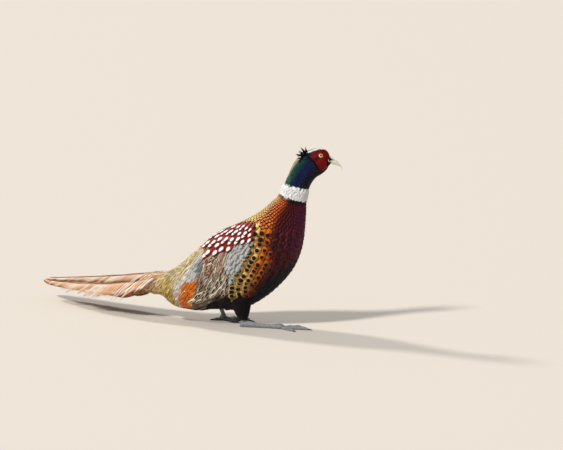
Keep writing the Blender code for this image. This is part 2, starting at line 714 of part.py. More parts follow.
def build_legs(finish, parts, cutters):
    clear_of_body = body_piece("torso_clearance", RUMP_END - 0.4, NECK_START, 34, finish["belly"], cutters, 0.45)

    # the right shank lies on the floor, heel down
    heel = np.array([RIGHT_HEEL_X, RIGHT_FOOT[1], 0])
    thigh = loft(
        "thigh_right",
        level_rings([heel + (-8, 14, 64), heel + (-7, 7, 45), heel + (-3, 1, 27), heel + (0, 0, 14.2)],
                    [12, 19, 14.5, 8.5], 16),
        finish["belly"], parts,
    )
    apply_cut(thigh, "DIFFERENCE", other=clear_of_body)
    shank = loft(
        "shank",
        flat_soled([(heel[0] - 7, heel[1]), (heel[0] - 3, heel[1]), (heel[0] + 6, heel[1]),
                    (heel[0] + 30, heel[1]), (RIGHT_FOOT[0] - 12, heel[1]), (RIGHT_FOOT[0] - GAP, heel[1])],
                   [2.5, 5.5, 5.6, 4.0, 4.0, 4.8], [7, 11, 12, 8.5, 8, 9]),
        finish["leg"], parts,
    )
    ankle = loft("ankle", level_rings([heel + (0, 0, 5), heel + (0, 0, 13.8)], [5.0, 6.2], 12), finish["leg"], parts)
    unite("tarsus_right", [shank, ankle])

    # the left shank stands
    foot = np.array([*LEFT_FOOT, 0])
    thigh = loft(
        "thigh_left",
        level_rings([foot + (-9, -16, 60), foot + (-9, -12, 46), foot + (-7, -4, 34), foot + (-6, 0, 25)],
                    [7, 8.5, 10, 8], 16),
        finish["belly"], parts,
    )
    apply_cut(thigh, "DIFFERENCE", other=clear_of_body)
    loft(
        "tarsus_left",
        level_rings([foot + (0, 0, 12.3), foot + (-2, 0, 16), foot + (-6, 0, 25 - GAP)], [4.4, 4.1, 5.0], 12),
        finish["leg"], parts,
    )

    toes = (("inner", 34, 40, 3.6), ("middle", 2, 52, 3.9), ("outer", -36, 42, 3.6), ("hind", 0, 20, 3.0))
    for hand, side, (x, y), start, hind in (("right", 1, RIGHT_FOOT, 7, 116), ("left", -1, LEFT_FOOT, 2, 160)):
        hub = (x + start, y)
        pieces = [
            loft("pad", flat_soled([(x + (0 if start > 5 else -6), y), (x + start, y), (x + start + 6, y)],
                                   [4.6, 6.2, 4.5], [9, 9.5, 7]), finish["leg"], parts)
        ]
        if hand == "left":
            pieces.append(loft("neck_of_foot", level_rings([(x, y, 4), (x, y, 12)], [4.8, 4.6], 12),
                               finish["leg"], parts))
        for name, heading, length, radius in toes:
            turn = math.radians(side * (hind if name == "hind" else heading))
            way = np.array([math.cos(turn), math.sin(turn)])
            steps = np.array([0.06, 0.3, 0.42, 0.62, 0.74, 0.93, 1.0])
            swell = np.array([1.0, 0.88, 1.0, 0.8, 0.9, 0.68, 0.5])
            path = np.array(hub) + steps[:, None] * way * length
            pieces.append(loft(name, flat_soled(path, radius * swell, 2 * radius * swell * 0.9, 6),
                               finish["leg"], parts))
            claw_start = np.array(hub) + way * (length + GAP)
            claw_length = 10 if name == "middle" else 8
            claw_path = claw_start + np.array([0, 0.3, 0.6, 0.85, 1.0])[:, None] * way * claw_length
            loft(f"claw_{name}_{hand}",
                 flat_soled(claw_path, [1.6, 1.4, 1.0, 0.6, 0.3], [3.1, 2.9, 2.2, 1.3, 0.6], 6),
                 finish["claw"], parts)
        unite(f"foot_{hand}", pieces)


def main():
    for old in list(bpy.data.objects):
        bpy.data.objects.remove(old)
    parts = bpy.data.collections.new("pheasant")
    cutters = bpy.data.collections.new("cutters")
    for collection in (parts, cutters):
        bpy.context.scene.collection.children.link(collection)
    finish = {
        "belly": material("belly_plumage", (0.02, 0.015, 0.02), 0.7),
        "body": material("copper_plumage", (0.42, 0.16, 0.05), 0.6),
        "rump": material("silver_rump_plumage", (0.45, 0.47, 0.42), 0.7),
        "neck": material("glossy_neck_plumage", (0.01, 0.06, 0.09), 0.35),
        "wing": material("wing_plumage", (0.5, 0.4, 0.3), 0.7),
        "tail": material("tail_plumage", (0.65, 0.42, 0.25), 0.7),
        "wattle": material("wattle_skin", (0.5, 0.02, 0.02), 0.5),
        "eye": material("eye", (0.6, 0.35, 0.05), 0.05),
        "bill": material("bill_horn", (0.7, 0.68, 0.55), 0.4),
        "leg": material("leg_scales", (0.3, 0.31, 0.33), 0.6),
        "claw": material("claw_horn", (0.12, 0.1, 0.09), 0.4),
    }
    body_piece("torso", RUMP_END, NECK_START, 17, finish["body"], parts)
    draw = np.random.default_rng(SEED)
    build_rump(finish, parts, draw)
    body_piece("neck", NECK_START + 0.015, HEAD_START - 0.02, 8, finish["neck"], parts)
    build_head(finish, parts, cutters)
    build_eyes(finish, parts)
    build_wattles(finish, parts)
    build_bill(finish, parts, cutters)
    for side, hand in ((1, "right"), (-1, "left")):
        build_wing(side, hand, finish, parts, draw)
    build_tail(finish, parts)
    build_legs(finish, parts, cutters)
    for cutter in cutters.objects:
        cutter.hide_render = True
        cutter.display_type = "WIRE"


main()
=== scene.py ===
# Common pheasant, a cock crouched in mid-step: one skin, its feathers, and its head, bill and feet in detail.
# Shapes are worked out in millimetres from a point on the floor under the hips, and become metres in the mesh.
# A place on the plumage is (along, angle): along runs from 0 at the tail root to 21 at the bill, and on to -2
# round the root of the tail. Angle goes round the body from the middle of the back, in degrees, positive on
# the right side.

import math

import bpy
import numpy as np
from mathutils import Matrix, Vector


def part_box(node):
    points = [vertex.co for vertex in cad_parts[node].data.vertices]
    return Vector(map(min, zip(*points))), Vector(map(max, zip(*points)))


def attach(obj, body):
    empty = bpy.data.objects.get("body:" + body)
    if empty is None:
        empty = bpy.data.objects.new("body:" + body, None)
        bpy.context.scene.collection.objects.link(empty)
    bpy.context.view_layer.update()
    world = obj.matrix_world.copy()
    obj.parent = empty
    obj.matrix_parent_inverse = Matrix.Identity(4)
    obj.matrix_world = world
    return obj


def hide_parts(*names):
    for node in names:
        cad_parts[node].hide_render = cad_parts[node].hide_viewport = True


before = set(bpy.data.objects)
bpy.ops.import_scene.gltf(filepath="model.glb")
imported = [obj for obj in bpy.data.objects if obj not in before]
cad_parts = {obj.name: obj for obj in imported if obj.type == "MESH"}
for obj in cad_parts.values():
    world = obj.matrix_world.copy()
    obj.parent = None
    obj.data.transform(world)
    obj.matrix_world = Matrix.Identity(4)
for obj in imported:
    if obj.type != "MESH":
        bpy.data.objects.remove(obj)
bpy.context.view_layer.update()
draw = np.random.default_rng(5)
# sign and name of each side, and the turn in degrees that spreads points evenly round a middle
hands = ((1, "right"), (-1, "left"))
evenTurn = 137.508

# the right shank runs along the floor from 7 mm ahead of the hips, 35 mm to the right of the middle
shankLow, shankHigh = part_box("tarsus_right")
hips = np.array([shankLow.x * 1000 - 7, (shankLow.y + shankHigh.y) * 500 + 35, 0.0])

# place along, back x, back z, belly x, belly z, half width, fullness towards the back
bodySections = np.array([
    (-2, -215, 80.5, -213, 52, 19, 0.00),
    (-1, -189, 84.3, -190, 47, 20, 0.00),
    (0, -163, 88, -167, 46, 18, 0.00),
    (2, -125, 104, -123, 26, 38, 0.00),
    (3, -103, 122, -84, 23, 47, 0.04),
    (4, -75, 147, -38, 25, 54, 0.08),
    (5, -47, 167, 6, 33, 58, 0.10),
    (6, -20, 181, 49, 58, 60, 0.10),
    (7, 7, 194, 87, 95, 59, 0.06),
    (8, 30, 207, 106, 128, 53, 0.02),
    (9, 47, 219, 115, 160, 44, 0.00),
    (10, 59, 230, 119, 190, 35, 0.00),
    (11, 68, 238, 121, 213, 28, 0.00),
    (12, 74, 246, 122, 232, 24, 0.00),
    (14, 89, 280, 131.5, 266, 20, 0.00),
    (15, 98, 300, 140, 277, 19.5, -0.05),
    (16, 108, 314, 148, 282, 19, -0.10),
    (17, 121, 323.5, 154.5, 286.5, 18, -0.12),
    (18, 136, 329, 159, 291, 16.5, -0.12),
    (19, 150, 329.5, 162, 295.5, 13.5, -0.10),
    (20, 159.5, 324, 163.5, 299, 10, -0.05),
    (21, 164.5, 317.5, 164, 301.5, 6.8, 0.00),
])
bend = {
    "swingStart": -80,
    "swing": math.radians(36),
    "swingEase": 115,
    "neckX": 93,
    "headTurn": math.radians(20),
    "turnFrom": 215,
    "turnTo": 300,
}


def spline(places, rows, at):
    # smooth cubic through rows of values: each row's slope is that of its neighbours, weighted by nearness
    at = np.clip(at, places[0], places[-1])
    step = np.diff(places)[:, None]
    slope = np.diff(rows, axis=0) / step
    tangent = np.empty_like(rows)
    tangent[1:-1] = (slope[:-1] * step[1:] + slope[1:] * step[:-1]) / (step[1:] + step[:-1])
    tangent[0] = slope[0]
    tangent[-1] = slope[-1]
    i = np.clip(np.searchsorted(places, at, side="right") - 1, 0, len(places) - 2)
    wide = step[i]
    t = (at[..., None] - places[i][..., None]) / wide
    return (
        (2 * t**3 - 3 * t**2 + 1) * rows[i]
        + (t**3 - 2 * t**2 + t) * wide * tangent[i]
        + (3 * t**2 - 2 * t**3) * rows[i + 1]
        + (t**3 - t**2) * wide * tangent[i + 1]
    )


def stacked(*values):
    # values side by side on a last axis, spread to one shape
    return np.stack(np.broadcast_arrays(*values), -1)


def stepsOf(points):
    # lengths of the steps from each point to the next
    return np.linalg.norm(np.diff(points, axis=0), axis=1)


def runningSum(steps):
    # 0, and the sum up to each step
    return np.concatenate([[0], np.cumsum(steps)])


def straightBody(along, angle):
    # each ring is an ellipse from its back point to its belly point, as wide as its half width
    along, angle = np.broadcast_arrays(np.asarray(along, float), np.radians(np.asarray(angle, float)))
    row = spline(bodySections[:, 0], bodySections[:, 1:], along)
    middle = (row[..., 0:2] + row[..., 2:4]) / 2
    reach = (row[..., 0:2] - row[..., 2:4]) / 2
    up = np.cos(angle)
    x = middle[..., 0] + reach[..., 0] * up
    z = middle[..., 1] + reach[..., 1] * up
    return np.stack([x, -row[..., 4] * np.sin(angle) * (1 + row[..., 5] * up), z], -1)


def swingTable():
    # the heading grows with distance behind the swing's start, and the middle line is its running sum
    distance = np.linspace(0, 700, 1401)
    heading = bend["swing"] * (1 - np.exp(-distance / bend["swingEase"]))
    step = np.diff(distance)
    run = runningSum((np.cos(heading[1:]) + np.cos(heading[:-1])) / 2 * step)
    side = runningSum((np.sin(heading[1:]) + np.sin(heading[:-1])) / 2 * step)
    return distance, run, side


swung = swingTable()


def pose(points):
    # what lies behind the hips swings to the bird's left, and the neck turns more the higher it is
    points = np.asarray(points, float)
    x, y, z = points[..., 0], points[..., 1], points[..., 2]
    behind = np.clip(bend["swingStart"] - x, 0, None)
    heading = bend["swing"] * (1 - np.exp(-behind / bend["swingEase"]))
    swungX = bend["swingStart"] - np.interp(behind, swung[0], swung[1]) + y * np.sin(heading)
    swungY = np.interp(behind, swung[0], swung[2]) + y * np.cos(heading)
    bodyX = np.where(behind > 0, swungX, x)
    bodyY = np.where(behind > 0, swungY, y)
    rise = np.clip((z - bend["turnFrom"]) / (bend["turnTo"] - bend["turnFrom"]), 0, 1)
    turn = bend["headTurn"] * rise * rise * (3 - 2 * rise)
    headX = bend["neckX"] + (x - bend["neckX"]) * np.cos(turn) - y * np.sin(turn)
    headY = (x - bend["neckX"]) * np.sin(turn) + y * np.cos(turn)
    return np.stack([np.where(x > 0, headX, bodyX), np.where(x > 0, headY, bodyY), z], -1)


def unit(vectors):
    return vectors / np.maximum(np.linalg.norm(vectors, axis=-1, keepdims=True), 1e-9)


def bodyFrame(along, angle):
    # point, steps per unit along and per degree round, and the outward direction as their cross product
    inside = np.clip(along, -1.97, 20.97)
    here = straightBody(along, angle)
    byAlong = (straightBody(inside + 0.02, angle) - straightBody(inside - 0.02, angle)) / 0.04
    byAngle = straightBody(along, angle + 0.5) - straightBody(along, angle - 0.5)
    return here, byAlong, byAngle, unit(np.cross(byAngle, byAlong))


def bodySurface(along, angle, lift):
    # points of the posed body, moved outwards by lift
    along, angle = np.broadcast_arrays(np.asarray(along, float), np.asarray(angle, float))
    here, _, _, out = bodyFrame(along, angle)
    return pose(here + out * np.broadcast_to(lift, along.shape)[..., None])


def onGrid(way, byAlong, byAngle):
    # turns a direction on the surface into steps of along and angle, by the grid's own metric
    aa = (byAlong**2).sum(-1)
    bb = (byAngle**2).sum(-1)
    ab = (byAlong * byAngle).sum(-1)
    wa = (way * byAlong).sum(-1)
    wb = (way * byAngle).sum(-1)
    scale = aa * bb - ab**2
    return (wa * bb - wb * ab) / scale, (wb * aa - wa * ab) / scale


def smooth(x):
    x = np.clip(x, 0, 1)
    return x * x * (3 - 2 * x)


def rise(x, at, soft):
    # 0 below at and 1 above it, over a band as wide as soft
    return smooth((x - at) / soft + 0.5)


def between(x, low, high, soft):
    # 1 from low to high and 0 outside, over soft bands
    return rise(x, low, soft) * (1 - rise(x, high, soft))


def paint(red, green, blue):
    # screen values from 0 to 255 as the linear values that shaders use
    value = np.array([red, green, blue]) / 255
    return np.where(value <= 0.04045, value / 12.92, ((value + 0.055) / 1.055) ** 2.4)


def blend(under, over, weight):
    # the share of the way from under to over that weight gives
    return under + (over - under) * np.asarray(weight)[..., None]


paints = {
    "gold": paint(250, 204, 116),
    "copper": paint(218, 112, 22),
    "orange": paint(236, 106, 10),
    "maroon": paint(86, 14, 20),
    # painted sheen on the front of the breast
    "purpleSheen": paint(104, 24, 62),
    # painted shade low on the sides
    "undersideShade": paint(34, 10, 24),
    "belly": paint(9, 7, 14),
    "buff": paint(224, 184, 118),
    "cream": paint(238, 218, 170),
    "powder": paint(240, 240, 238),
    "teal": paint(92, 122, 134),
    "rust": paint(240, 122, 4),
    "olive": paint(214, 184, 92),
    "oliveDark": paint(118, 94, 36),
    "peach": paint(246, 208, 168),
    "vent": paint(36, 18, 12),
    "white": paint(254, 254, 255),
    "green": paint(3, 70, 56),
    "navy": paint(2, 22, 72),
    "ink": paint(5, 6, 13),
    # painted sheen on the hindneck, and the crown's own bronze
    "bronzeAndSheen": paint(176, 160, 118),
    "flight": paint(196, 180, 146),
    "flightTan": paint(214, 176, 130),
    "flightBar": paint(84, 44, 30),
    "streakPale": paint(244, 228, 196),
    "streakGrey": paint(196, 190, 176),
    "streakRed": paint(120, 32, 22),
    "streakDark": paint(42, 18, 14),
    "grey": paint(188, 192, 194),
    "greyWarm": paint(196, 194, 186),
    "greyRim": paint(160, 160, 162),
    "red": paint(180, 54, 36),
    "redDeep": paint(132, 34, 26),
    "barb": paint(255, 238, 206),
    "barbPink": paint(250, 172, 122),
    "barbPale": paint(255, 246, 228),
    "barbRust": paint(206, 96, 34),
    "barbBrown": paint(176, 84, 40),
    "barbMark": paint(150, 62, 22),
    "web": paint(206, 150, 100),
    "webBar": paint(92, 50, 30),
}


def layered(ground, *layers):
    # a ground under layers, each a paint's name or its own colours, with its strength
    for over, weight in layers:
        ground = blend(ground, paints[over] if isinstance(over, str) else over, weight)
    return ground


def folded(angle):
    # degrees from the middle of the back, the same on both sides
    return np.abs((np.asarray(angle, float) + 180) % 360 - 180)


def curve(at, values):
    # straight lines through the values known at some places
    return lambda x: np.interp(x, at, values)


# edges that are a place along, from degrees off the back
wingFront = curve((20, 26, 42, 58, 67, 76, 82, 91, 101, 108, 126, 150),
                  (6.4, 6.75, 7.35, 7.66, 7.36, 7.0, 6.72, 6.08, 5.43, 5.17, 4.9, 4.8))
wingRear = curve((0, 51, 68, 78, 91, 121, 150, 180), (4.25, 4.29, 4.1, 3.97, 3.61, 3.01, 2.75, 2.6))
greyRear = curve((64, 72, 78, 89, 98, 110), (6.0, 5.75, 5.4, 5.48, 5.34, 5.2))
goldFront = curve((45, 76, 92, 103, 113, 123, 132, 148), (8.1, 7.73, 7.2, 6.63, 6.24, 5.81, 5.43, 5.0))
copperFront = curve((50, 77, 83, 91, 105, 117, 126, 133, 150), (10.2, 9.5, 8.8, 8.3, 7.9, 7.5, 7.0, 6.5, 5.2))
rustRear = curve((80, 94, 121, 169), (3.05, 2.72, 2.5, 2.3))
hackleFront = curve((0, 60, 92, 128, 170), (1.3, 1.9, 2.35, 2.35, 2.2))
collarRear = curve((0, 43, 69, 118, 180), (12.2, 12.15, 11.98, 12.1, 12.1))

# edges that are degrees off the back, from a place along
wingLow = curve((2.5, 3.28, 4.06, 4.63, 4.9, 5.17, 5.43, 6.08, 6.72, 7.0, 7.36, 7.66),
                (165, 146, 130, 126, 120, 108, 101, 91, 82, 76, 67, 58))
wingTop = curve((4.2, 4.6, 5.7, 6.7, 7.35, 7.66), (30, 17, 18, 26, 42, 56))
scapularLow = curve((4.29, 4.97, 5.44, 5.85, 6.46, 7.05, 7.4), (51, 62, 64, 64, 69, 72, 67))
bellyEdge = curve((3.0, 4.2, 4.75, 5.04, 5.48, 5.84, 6.21, 6.59, 6.98, 7.59, 7.96),
                  (150, 128, 122, 150, 150, 143, 138, 139, 149, 162, 190))
shoulderLow = curve((7.9, 8.4, 9, 10, 11.2), (91, 84, 80, 77, 82))
mantleLow = curve((7.1, 8.6, 10.2, 12), (40, 42, 42, 50))
creamLow = curve((2.0, 2.5, 3.2, 3.7, 4.3), (96, 80, 62, 46, 38))
# painted sheen: how far round from the middle of the back the pale highlight on the hindneck reaches
paintedSheenLow = curve((13.6, 14.3, 15.2, 16.3, 16.7), (8, 24, 32, 30, 10))
browLow = curve((16.86, 17.54, 18.32, 19.21), (25, 33, 28, 14))


def markings(along, angle):
    # the ground colour of skin and feathers, with painted sheen and shade in it, and the strength of the
    # feathers' dark rims
    t = folded(angle)
    shoulder = 1 - rise(t, shoulderLow(along), 30)
    mantle = 1 - rise(t, mantleLow(along), 22)
    onFlank = rise(t, 47, 8)
    onRump = 1 - rise(along, wingRear(t) + 0.1, 0.3)
    onHead = between(along, 16.7, 19.6, 0.3)
    edge = bellyEdge(along)
    brow = browLow(along)
    rumpColour = layered(
        paints["powder"],
        ("teal", 0.85 * between(along, 3.75, 4.8, 0.4) * between(t, 52, 86, 10)),
        ("cream", 1 - rise(t, creamLow(along), 12)),
        ("rust", rise(t, 81, 5) * rise(along, rustRear(t), 0.12)),
        (blend(paints["cream"], paints["olive"], rise(t, 52, 40)), 1 - rise(along, hackleFront(t), 0.25)),
        ("peach", 1 - rise(along, 0.3, 0.8)),
        ("vent", rise(t, 158, 12) * rise(along, 1.0, 0.6)),
    )
    # the neck: green behind, navy round the side and ink at the front; the ink at the front is the neck's own
    # dark gloss with painted shade
    neckColour = layered(
        paints["ink"],
        ("navy", (1 - rise(t, 112, 50)) * (1 - rise(along, 16.6, 1.2))),
        ("green", (1 - rise(t, 62, 40)) * (1 - rise(along, 16.4, 1.0))),
        # painted sheen: a pale bronze highlight down the back of the neck, over its green
        ("bronzeAndSheen", 0.8 * (1 - rise(t, paintedSheenLow(along), 8)) * between(along, 13.6, 16.7, 0.3)),
    )
    ground = layered(
        paints["maroon"],
        # painted sheen: purple along the front of the breast, over its maroon
        ("purpleSheen", 0.85 * between(along, 8.2, 11.9, 0.8) * rise(t, 132, 60)),
        ("orange", shoulder * rise(along, 7.6, 0.6)),
        ("gold", mantle),
        ("copper", (1 - rise(along, copperFront(t) - 0.35, 1.3)) * onFlank),
        ("gold", (1 - rise(along, goldFront(t), 0.5)) * onFlank),
        # painted shade: the lower side darkens towards the belly, whose own colour is near black
        ("undersideShade", 0.75 * rise(t, edge - 12, 26) * (1 - rise(along, 8.6, 1.0))),
        ("belly", rise(t, edge, 8)),
        ("buff", (1 - rise(along, 7.2, 0.6)) * (1 - rise(t, 30, 10))),
        (rumpColour, onRump),
        ("ink", between(along, 11.72, 12.1, 0.1) * 0.92),
        (neckColour, rise(along, 12.5, 0.3)),
        ("white", between(along, collarRear(t), 13.18, 0.07)),
        ("bronzeAndSheen", onHead * (1 - rise(t, brow - 17, 4))),
        ("white", onHead * between(t, brow - 17, brow, 4)),
    )
    body = between(along, 4.4, 11.9, 0.3) * (1 - onRump) * (1 - rise(t, edge, 12))
    gold = mantle * rise(along, 6.2, 0.6)
    return ground, body * (0.62 + 0.38 * gold + 0.38 * shoulder * (1 - gold))


def mathsWith(operation, swapped=False):
    # a method that sends the wire and another value through one Math node
    def method(self, other):
        return self.finish.maths(operation, *((other, self) if swapped else (self, other)))

    return method


class Wire:
    # one socket of a material, with Python's operators as Math nodes
    def __init__(self, finish, socket):
        self.finish = finish
        self.socket = socket

    __add__ = mathsWith("ADD")
    __sub__ = mathsWith("SUBTRACT")
    __mul__ = mathsWith("MULTIPLY")
    __truediv__ = mathsWith("DIVIDE")
    __rsub__ = mathsWith("SUBTRACT", True)
    __rmul__ = mathsWith("MULTIPLY", True)
    power = mathsWith("POWER")
    top = mathsWith("MAXIMUM")

    def size(self):
        return self.finish.maths("ABSOLUTE", self)

    def held(self):
        # kept from 0 to 1
        return self.finish.maths("MINIMUM", self.finish.maths("MAXIMUM", self, 0.0), 1.0)

    def wave(self):
        return self.finish.maths("SINE", self)


class Finish:
    # a material on one Principled shader
    def __init__(self, name, **values):
        self.material = bpy.data.materials.new(name)
        self.material.use_nodes = True
        self.tree = self.material.node_tree
        self.shader = self.tree.nodes["Principled BSDF"]
        self.feed(self.shader, values)

    def feed(self, node, inputs):
        for key, value in inputs.items():
            socket = node.inputs[key.replace("_", " ") if isinstance(key, str) else key]
            if isinstance(value, Wire):
                self.tree.links.new(value.socket, socket)
            elif hasattr(socket.default_value, "__len__"):
                value = [float(v) for v in value]
                socket.default_value = value + [1.0] * (len(socket.default_value) - len(value))
            else:
                socket.default_value = value

    def node(self, kind, settings=None, inputs=None, out=0):
        made = self.tree.nodes.new("ShaderNode" + kind)
        for key, value in (settings or {}).items():
            setattr(made, key, value)
        self.feed(made, inputs or {})
        return Wire(self, made.outputs[out])

    def maths(self, operation, *values):
        return self.node("Math", {"operation": operation}, dict(enumerate(values)))

    def mix(self, factor, first, second, how="MIX"):
        return self.node("Mix", {"data_type": "RGBA", "blend_type": how, "clamp_factor": True},
                         {0: factor, 6: first, 7: second}, 2)

    def attribute(self, name, out="Vector"):
        return self.node("Attribute", {"attribute_name": name}, {}, out)

    def parts(self, vector):
        split = self.node("SeparateXYZ", {}, {0: vector}).socket.node
        return [Wire(self, split.outputs[i]) for i in range(3)]

    def place(self):
        return self.node("TexCoord", {}, {}, "Object")

    def noise(self, scale, detail=2.0, vector=None):
        return self.node("TexNoise", {}, {"Vector": vector or self.place(), "Scale": scale, "Detail": detail})

    def bump(self, height, distance, strength=1.0):
        return self.node("Bump", {}, {"Height": height, "Distance": distance, "Strength": strength}, "Normal")

    def show(self, **values):
        self.feed(self.shader, values)
        return self.material


def plumage(name, barbs=26, relief=0.00035, streak=0.16, metal=0.0, **values):
    # ground and mark are each feather's own colours. The mark fills an oval spot, the rim round the edge and
    # bars. Barbs are fine lines that run out and forward from the shaft.
    f = Finish(name, **values)
    ground = f.attribute("ground", "Color")
    mark = f.attribute("mark", "Color")
    across, length, seed = f.parts(f.attribute("vane"))
    centre, spotWide, spotLong = f.parts(f.attribute("spot"))
    rim, shaft, bars = f.parts(f.attribute("edge"))
    side = across.size()
    ragged = (f.noise(900, 1) - 0.5) * 0.2
    oval = f.maths("SQRT", (across / spotWide).power(2) + ((length - centre) / spotLong).power(2))
    spotMask = ((1.0 - oval + ragged) * 4.0 + 0.5).held()
    rimMask = ((side.top((length - 0.5) * 2.0) + ragged - 0.68) * 7.0).held() * rim
    barMask = (((length * 62.0 + side * 3.0 + seed * 6.0).wave() - 0.45) * 4.0).held() * bars
    lines = ((length * barbs + side * (-0.35 * barbs) + seed * 9.0) * 6.283).wave()
    soft = f.noise(260, 3)
    colour = f.mix(((0.5 - 0.5 * lines) * streak).held(), ground, (0, 0, 0))
    colour = f.mix(((soft - 0.5) * 0.6).held(), colour, (0, 0, 0))
    colour = f.mix(((0.09 - side) * 14.0).held() * shaft, colour, (0.75, 0.68, 0.55))
    colour = f.mix(spotMask.top(rimMask).top(barMask), colour, mark)
    look = {"Base_Color": colour, "Normal": f.bump(lines * 0.5 + (1.0 - side) * 1.2, relief, 0.55)}
    if metal:
        _, green, _ = f.parts(ground)
        look["Metallic"] = (1.0 - green * 5.0).held() * metal
    return f.show(**look)


def linked(name, data):
    # a new object in the scene
    made = bpy.data.objects.new(name, data)
    bpy.context.scene.collection.objects.link(made)
    return made


def addPiece(name, points, faces, material, nodes=(), colours=None, vectors=None, bake=None):
    # one mesh from whole arrays: points in mm, triangles, values at points, and bake as a place for each corner
    mesh = bpy.data.meshes.new(name)
    place = ((points + hips) / 1000).astype(np.float32)
    mesh.vertices.add(len(place))
    mesh.vertices.foreach_set("co", place.ravel())
    mesh.loops.add(faces.size)
    mesh.loops.foreach_set("vertex_index", faces.astype(np.int32).ravel())
    mesh.polygons.add(len(faces))
    mesh.polygons.foreach_set("loop_start", np.arange(0, faces.size, 3, dtype=np.int32))
    mesh.polygons.foreach_set("use_smooth", np.ones(len(faces), bool))
    mesh.update()
    for key, values in (colours or {}).items():
        layer = mesh.attributes.new(key, "FLOAT_COLOR", "POINT")
        values = np.column_stack([values, np.ones(len(values))])
        layer.data.foreach_set("color", values.astype(np.float32).ravel())
    for key, values in (vectors or {}).items():
        layer = mesh.attributes.new(key, "FLOAT_VECTOR", "POINT")
        layer.data.foreach_set("vector", values.astype(np.float32).ravel())
    if bake is not None:
        layer = mesh.uv_layers.new(name="OFBake")
        layer.uv.foreach_set("vector", bake[faces.ravel()].astype(np.float32).ravel())
    mesh.validate()
    mesh.materials.append(material)
    piece = linked(name, mesh)
    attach(piece, "root")
    if nodes:
        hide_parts(*nodes)
    print(name, len(faces), "triangles")


def outwards(points, faces):
    # turns the faces over where the mesh holds a negative volume
    a, b, c = (points[faces[:, i]] for i in range(3))
    held = (a * np.cross(b, c)).sum()
    return faces if held > 0 else faces[:, ::-1]


def gridFaces(rows, columns, closed=False):
    # two triangles for each cell of a grid whose columns join in a ring, as its rows do where it is closed
    i, j = np.meshgrid(np.arange(rows if closed else rows - 1), np.arange(columns), indexing="ij")
    k, n = (i + 1) % rows, (j + 1) % columns
    a, b, c, d = i * columns + j, i * columns + n, k * columns + n, k * columns + j
    return np.concatenate([np.stack([a, b, c], -1).reshape(-1, 3), np.stack([a, c, d], -1).reshape(-1, 3)])


def tube(rings):
    # closed skin through rings of points, with a middle point at each end
    rows, columns, _ = rings.shape
    points = np.concatenate([rings.reshape(-1, 3), rings[:1].mean(1), rings[-1:].mean(1)])
    j = np.arange(columns)
    k = (j + 1) % columns
    last = (rows - 1) * columns
    first = np.stack([k, j, np.full(columns, rows * columns)], -1)
    end = np.stack([last + j, last + k, np.full(columns, rows * columns + 1)], -1)
    faces = np.concatenate([gridFaces(rows, columns), first, end])
    return points, outwards(points, faces)


def ringShell(under, over):
    # closed ring-shaped plate between two like grids whose rows run round
    loop = np.concatenate([over, under[:, ::-1]], 1)
    points = loop.reshape(-1, 3)
    return points, outwards(points, gridFaces(*loop.shape[:2], closed=True))


def joined(meshes):
    # several closed surfaces as one mesh
    starts = runningSum([len(points) for points, _ in meshes])
    return (np.concatenate([points for points, _ in meshes]),
            np.concatenate([faces + start for (_, faces), start in zip(meshes, starts)]))


# a feather's look where nothing else is said: ink marks, but no spot, rim, shaft or bars
plainLook = {"mark": paints["ink"], "spot": (0.5, 0.001, 0.001), "edge": (0, 0, 0), "vary": 0.16}


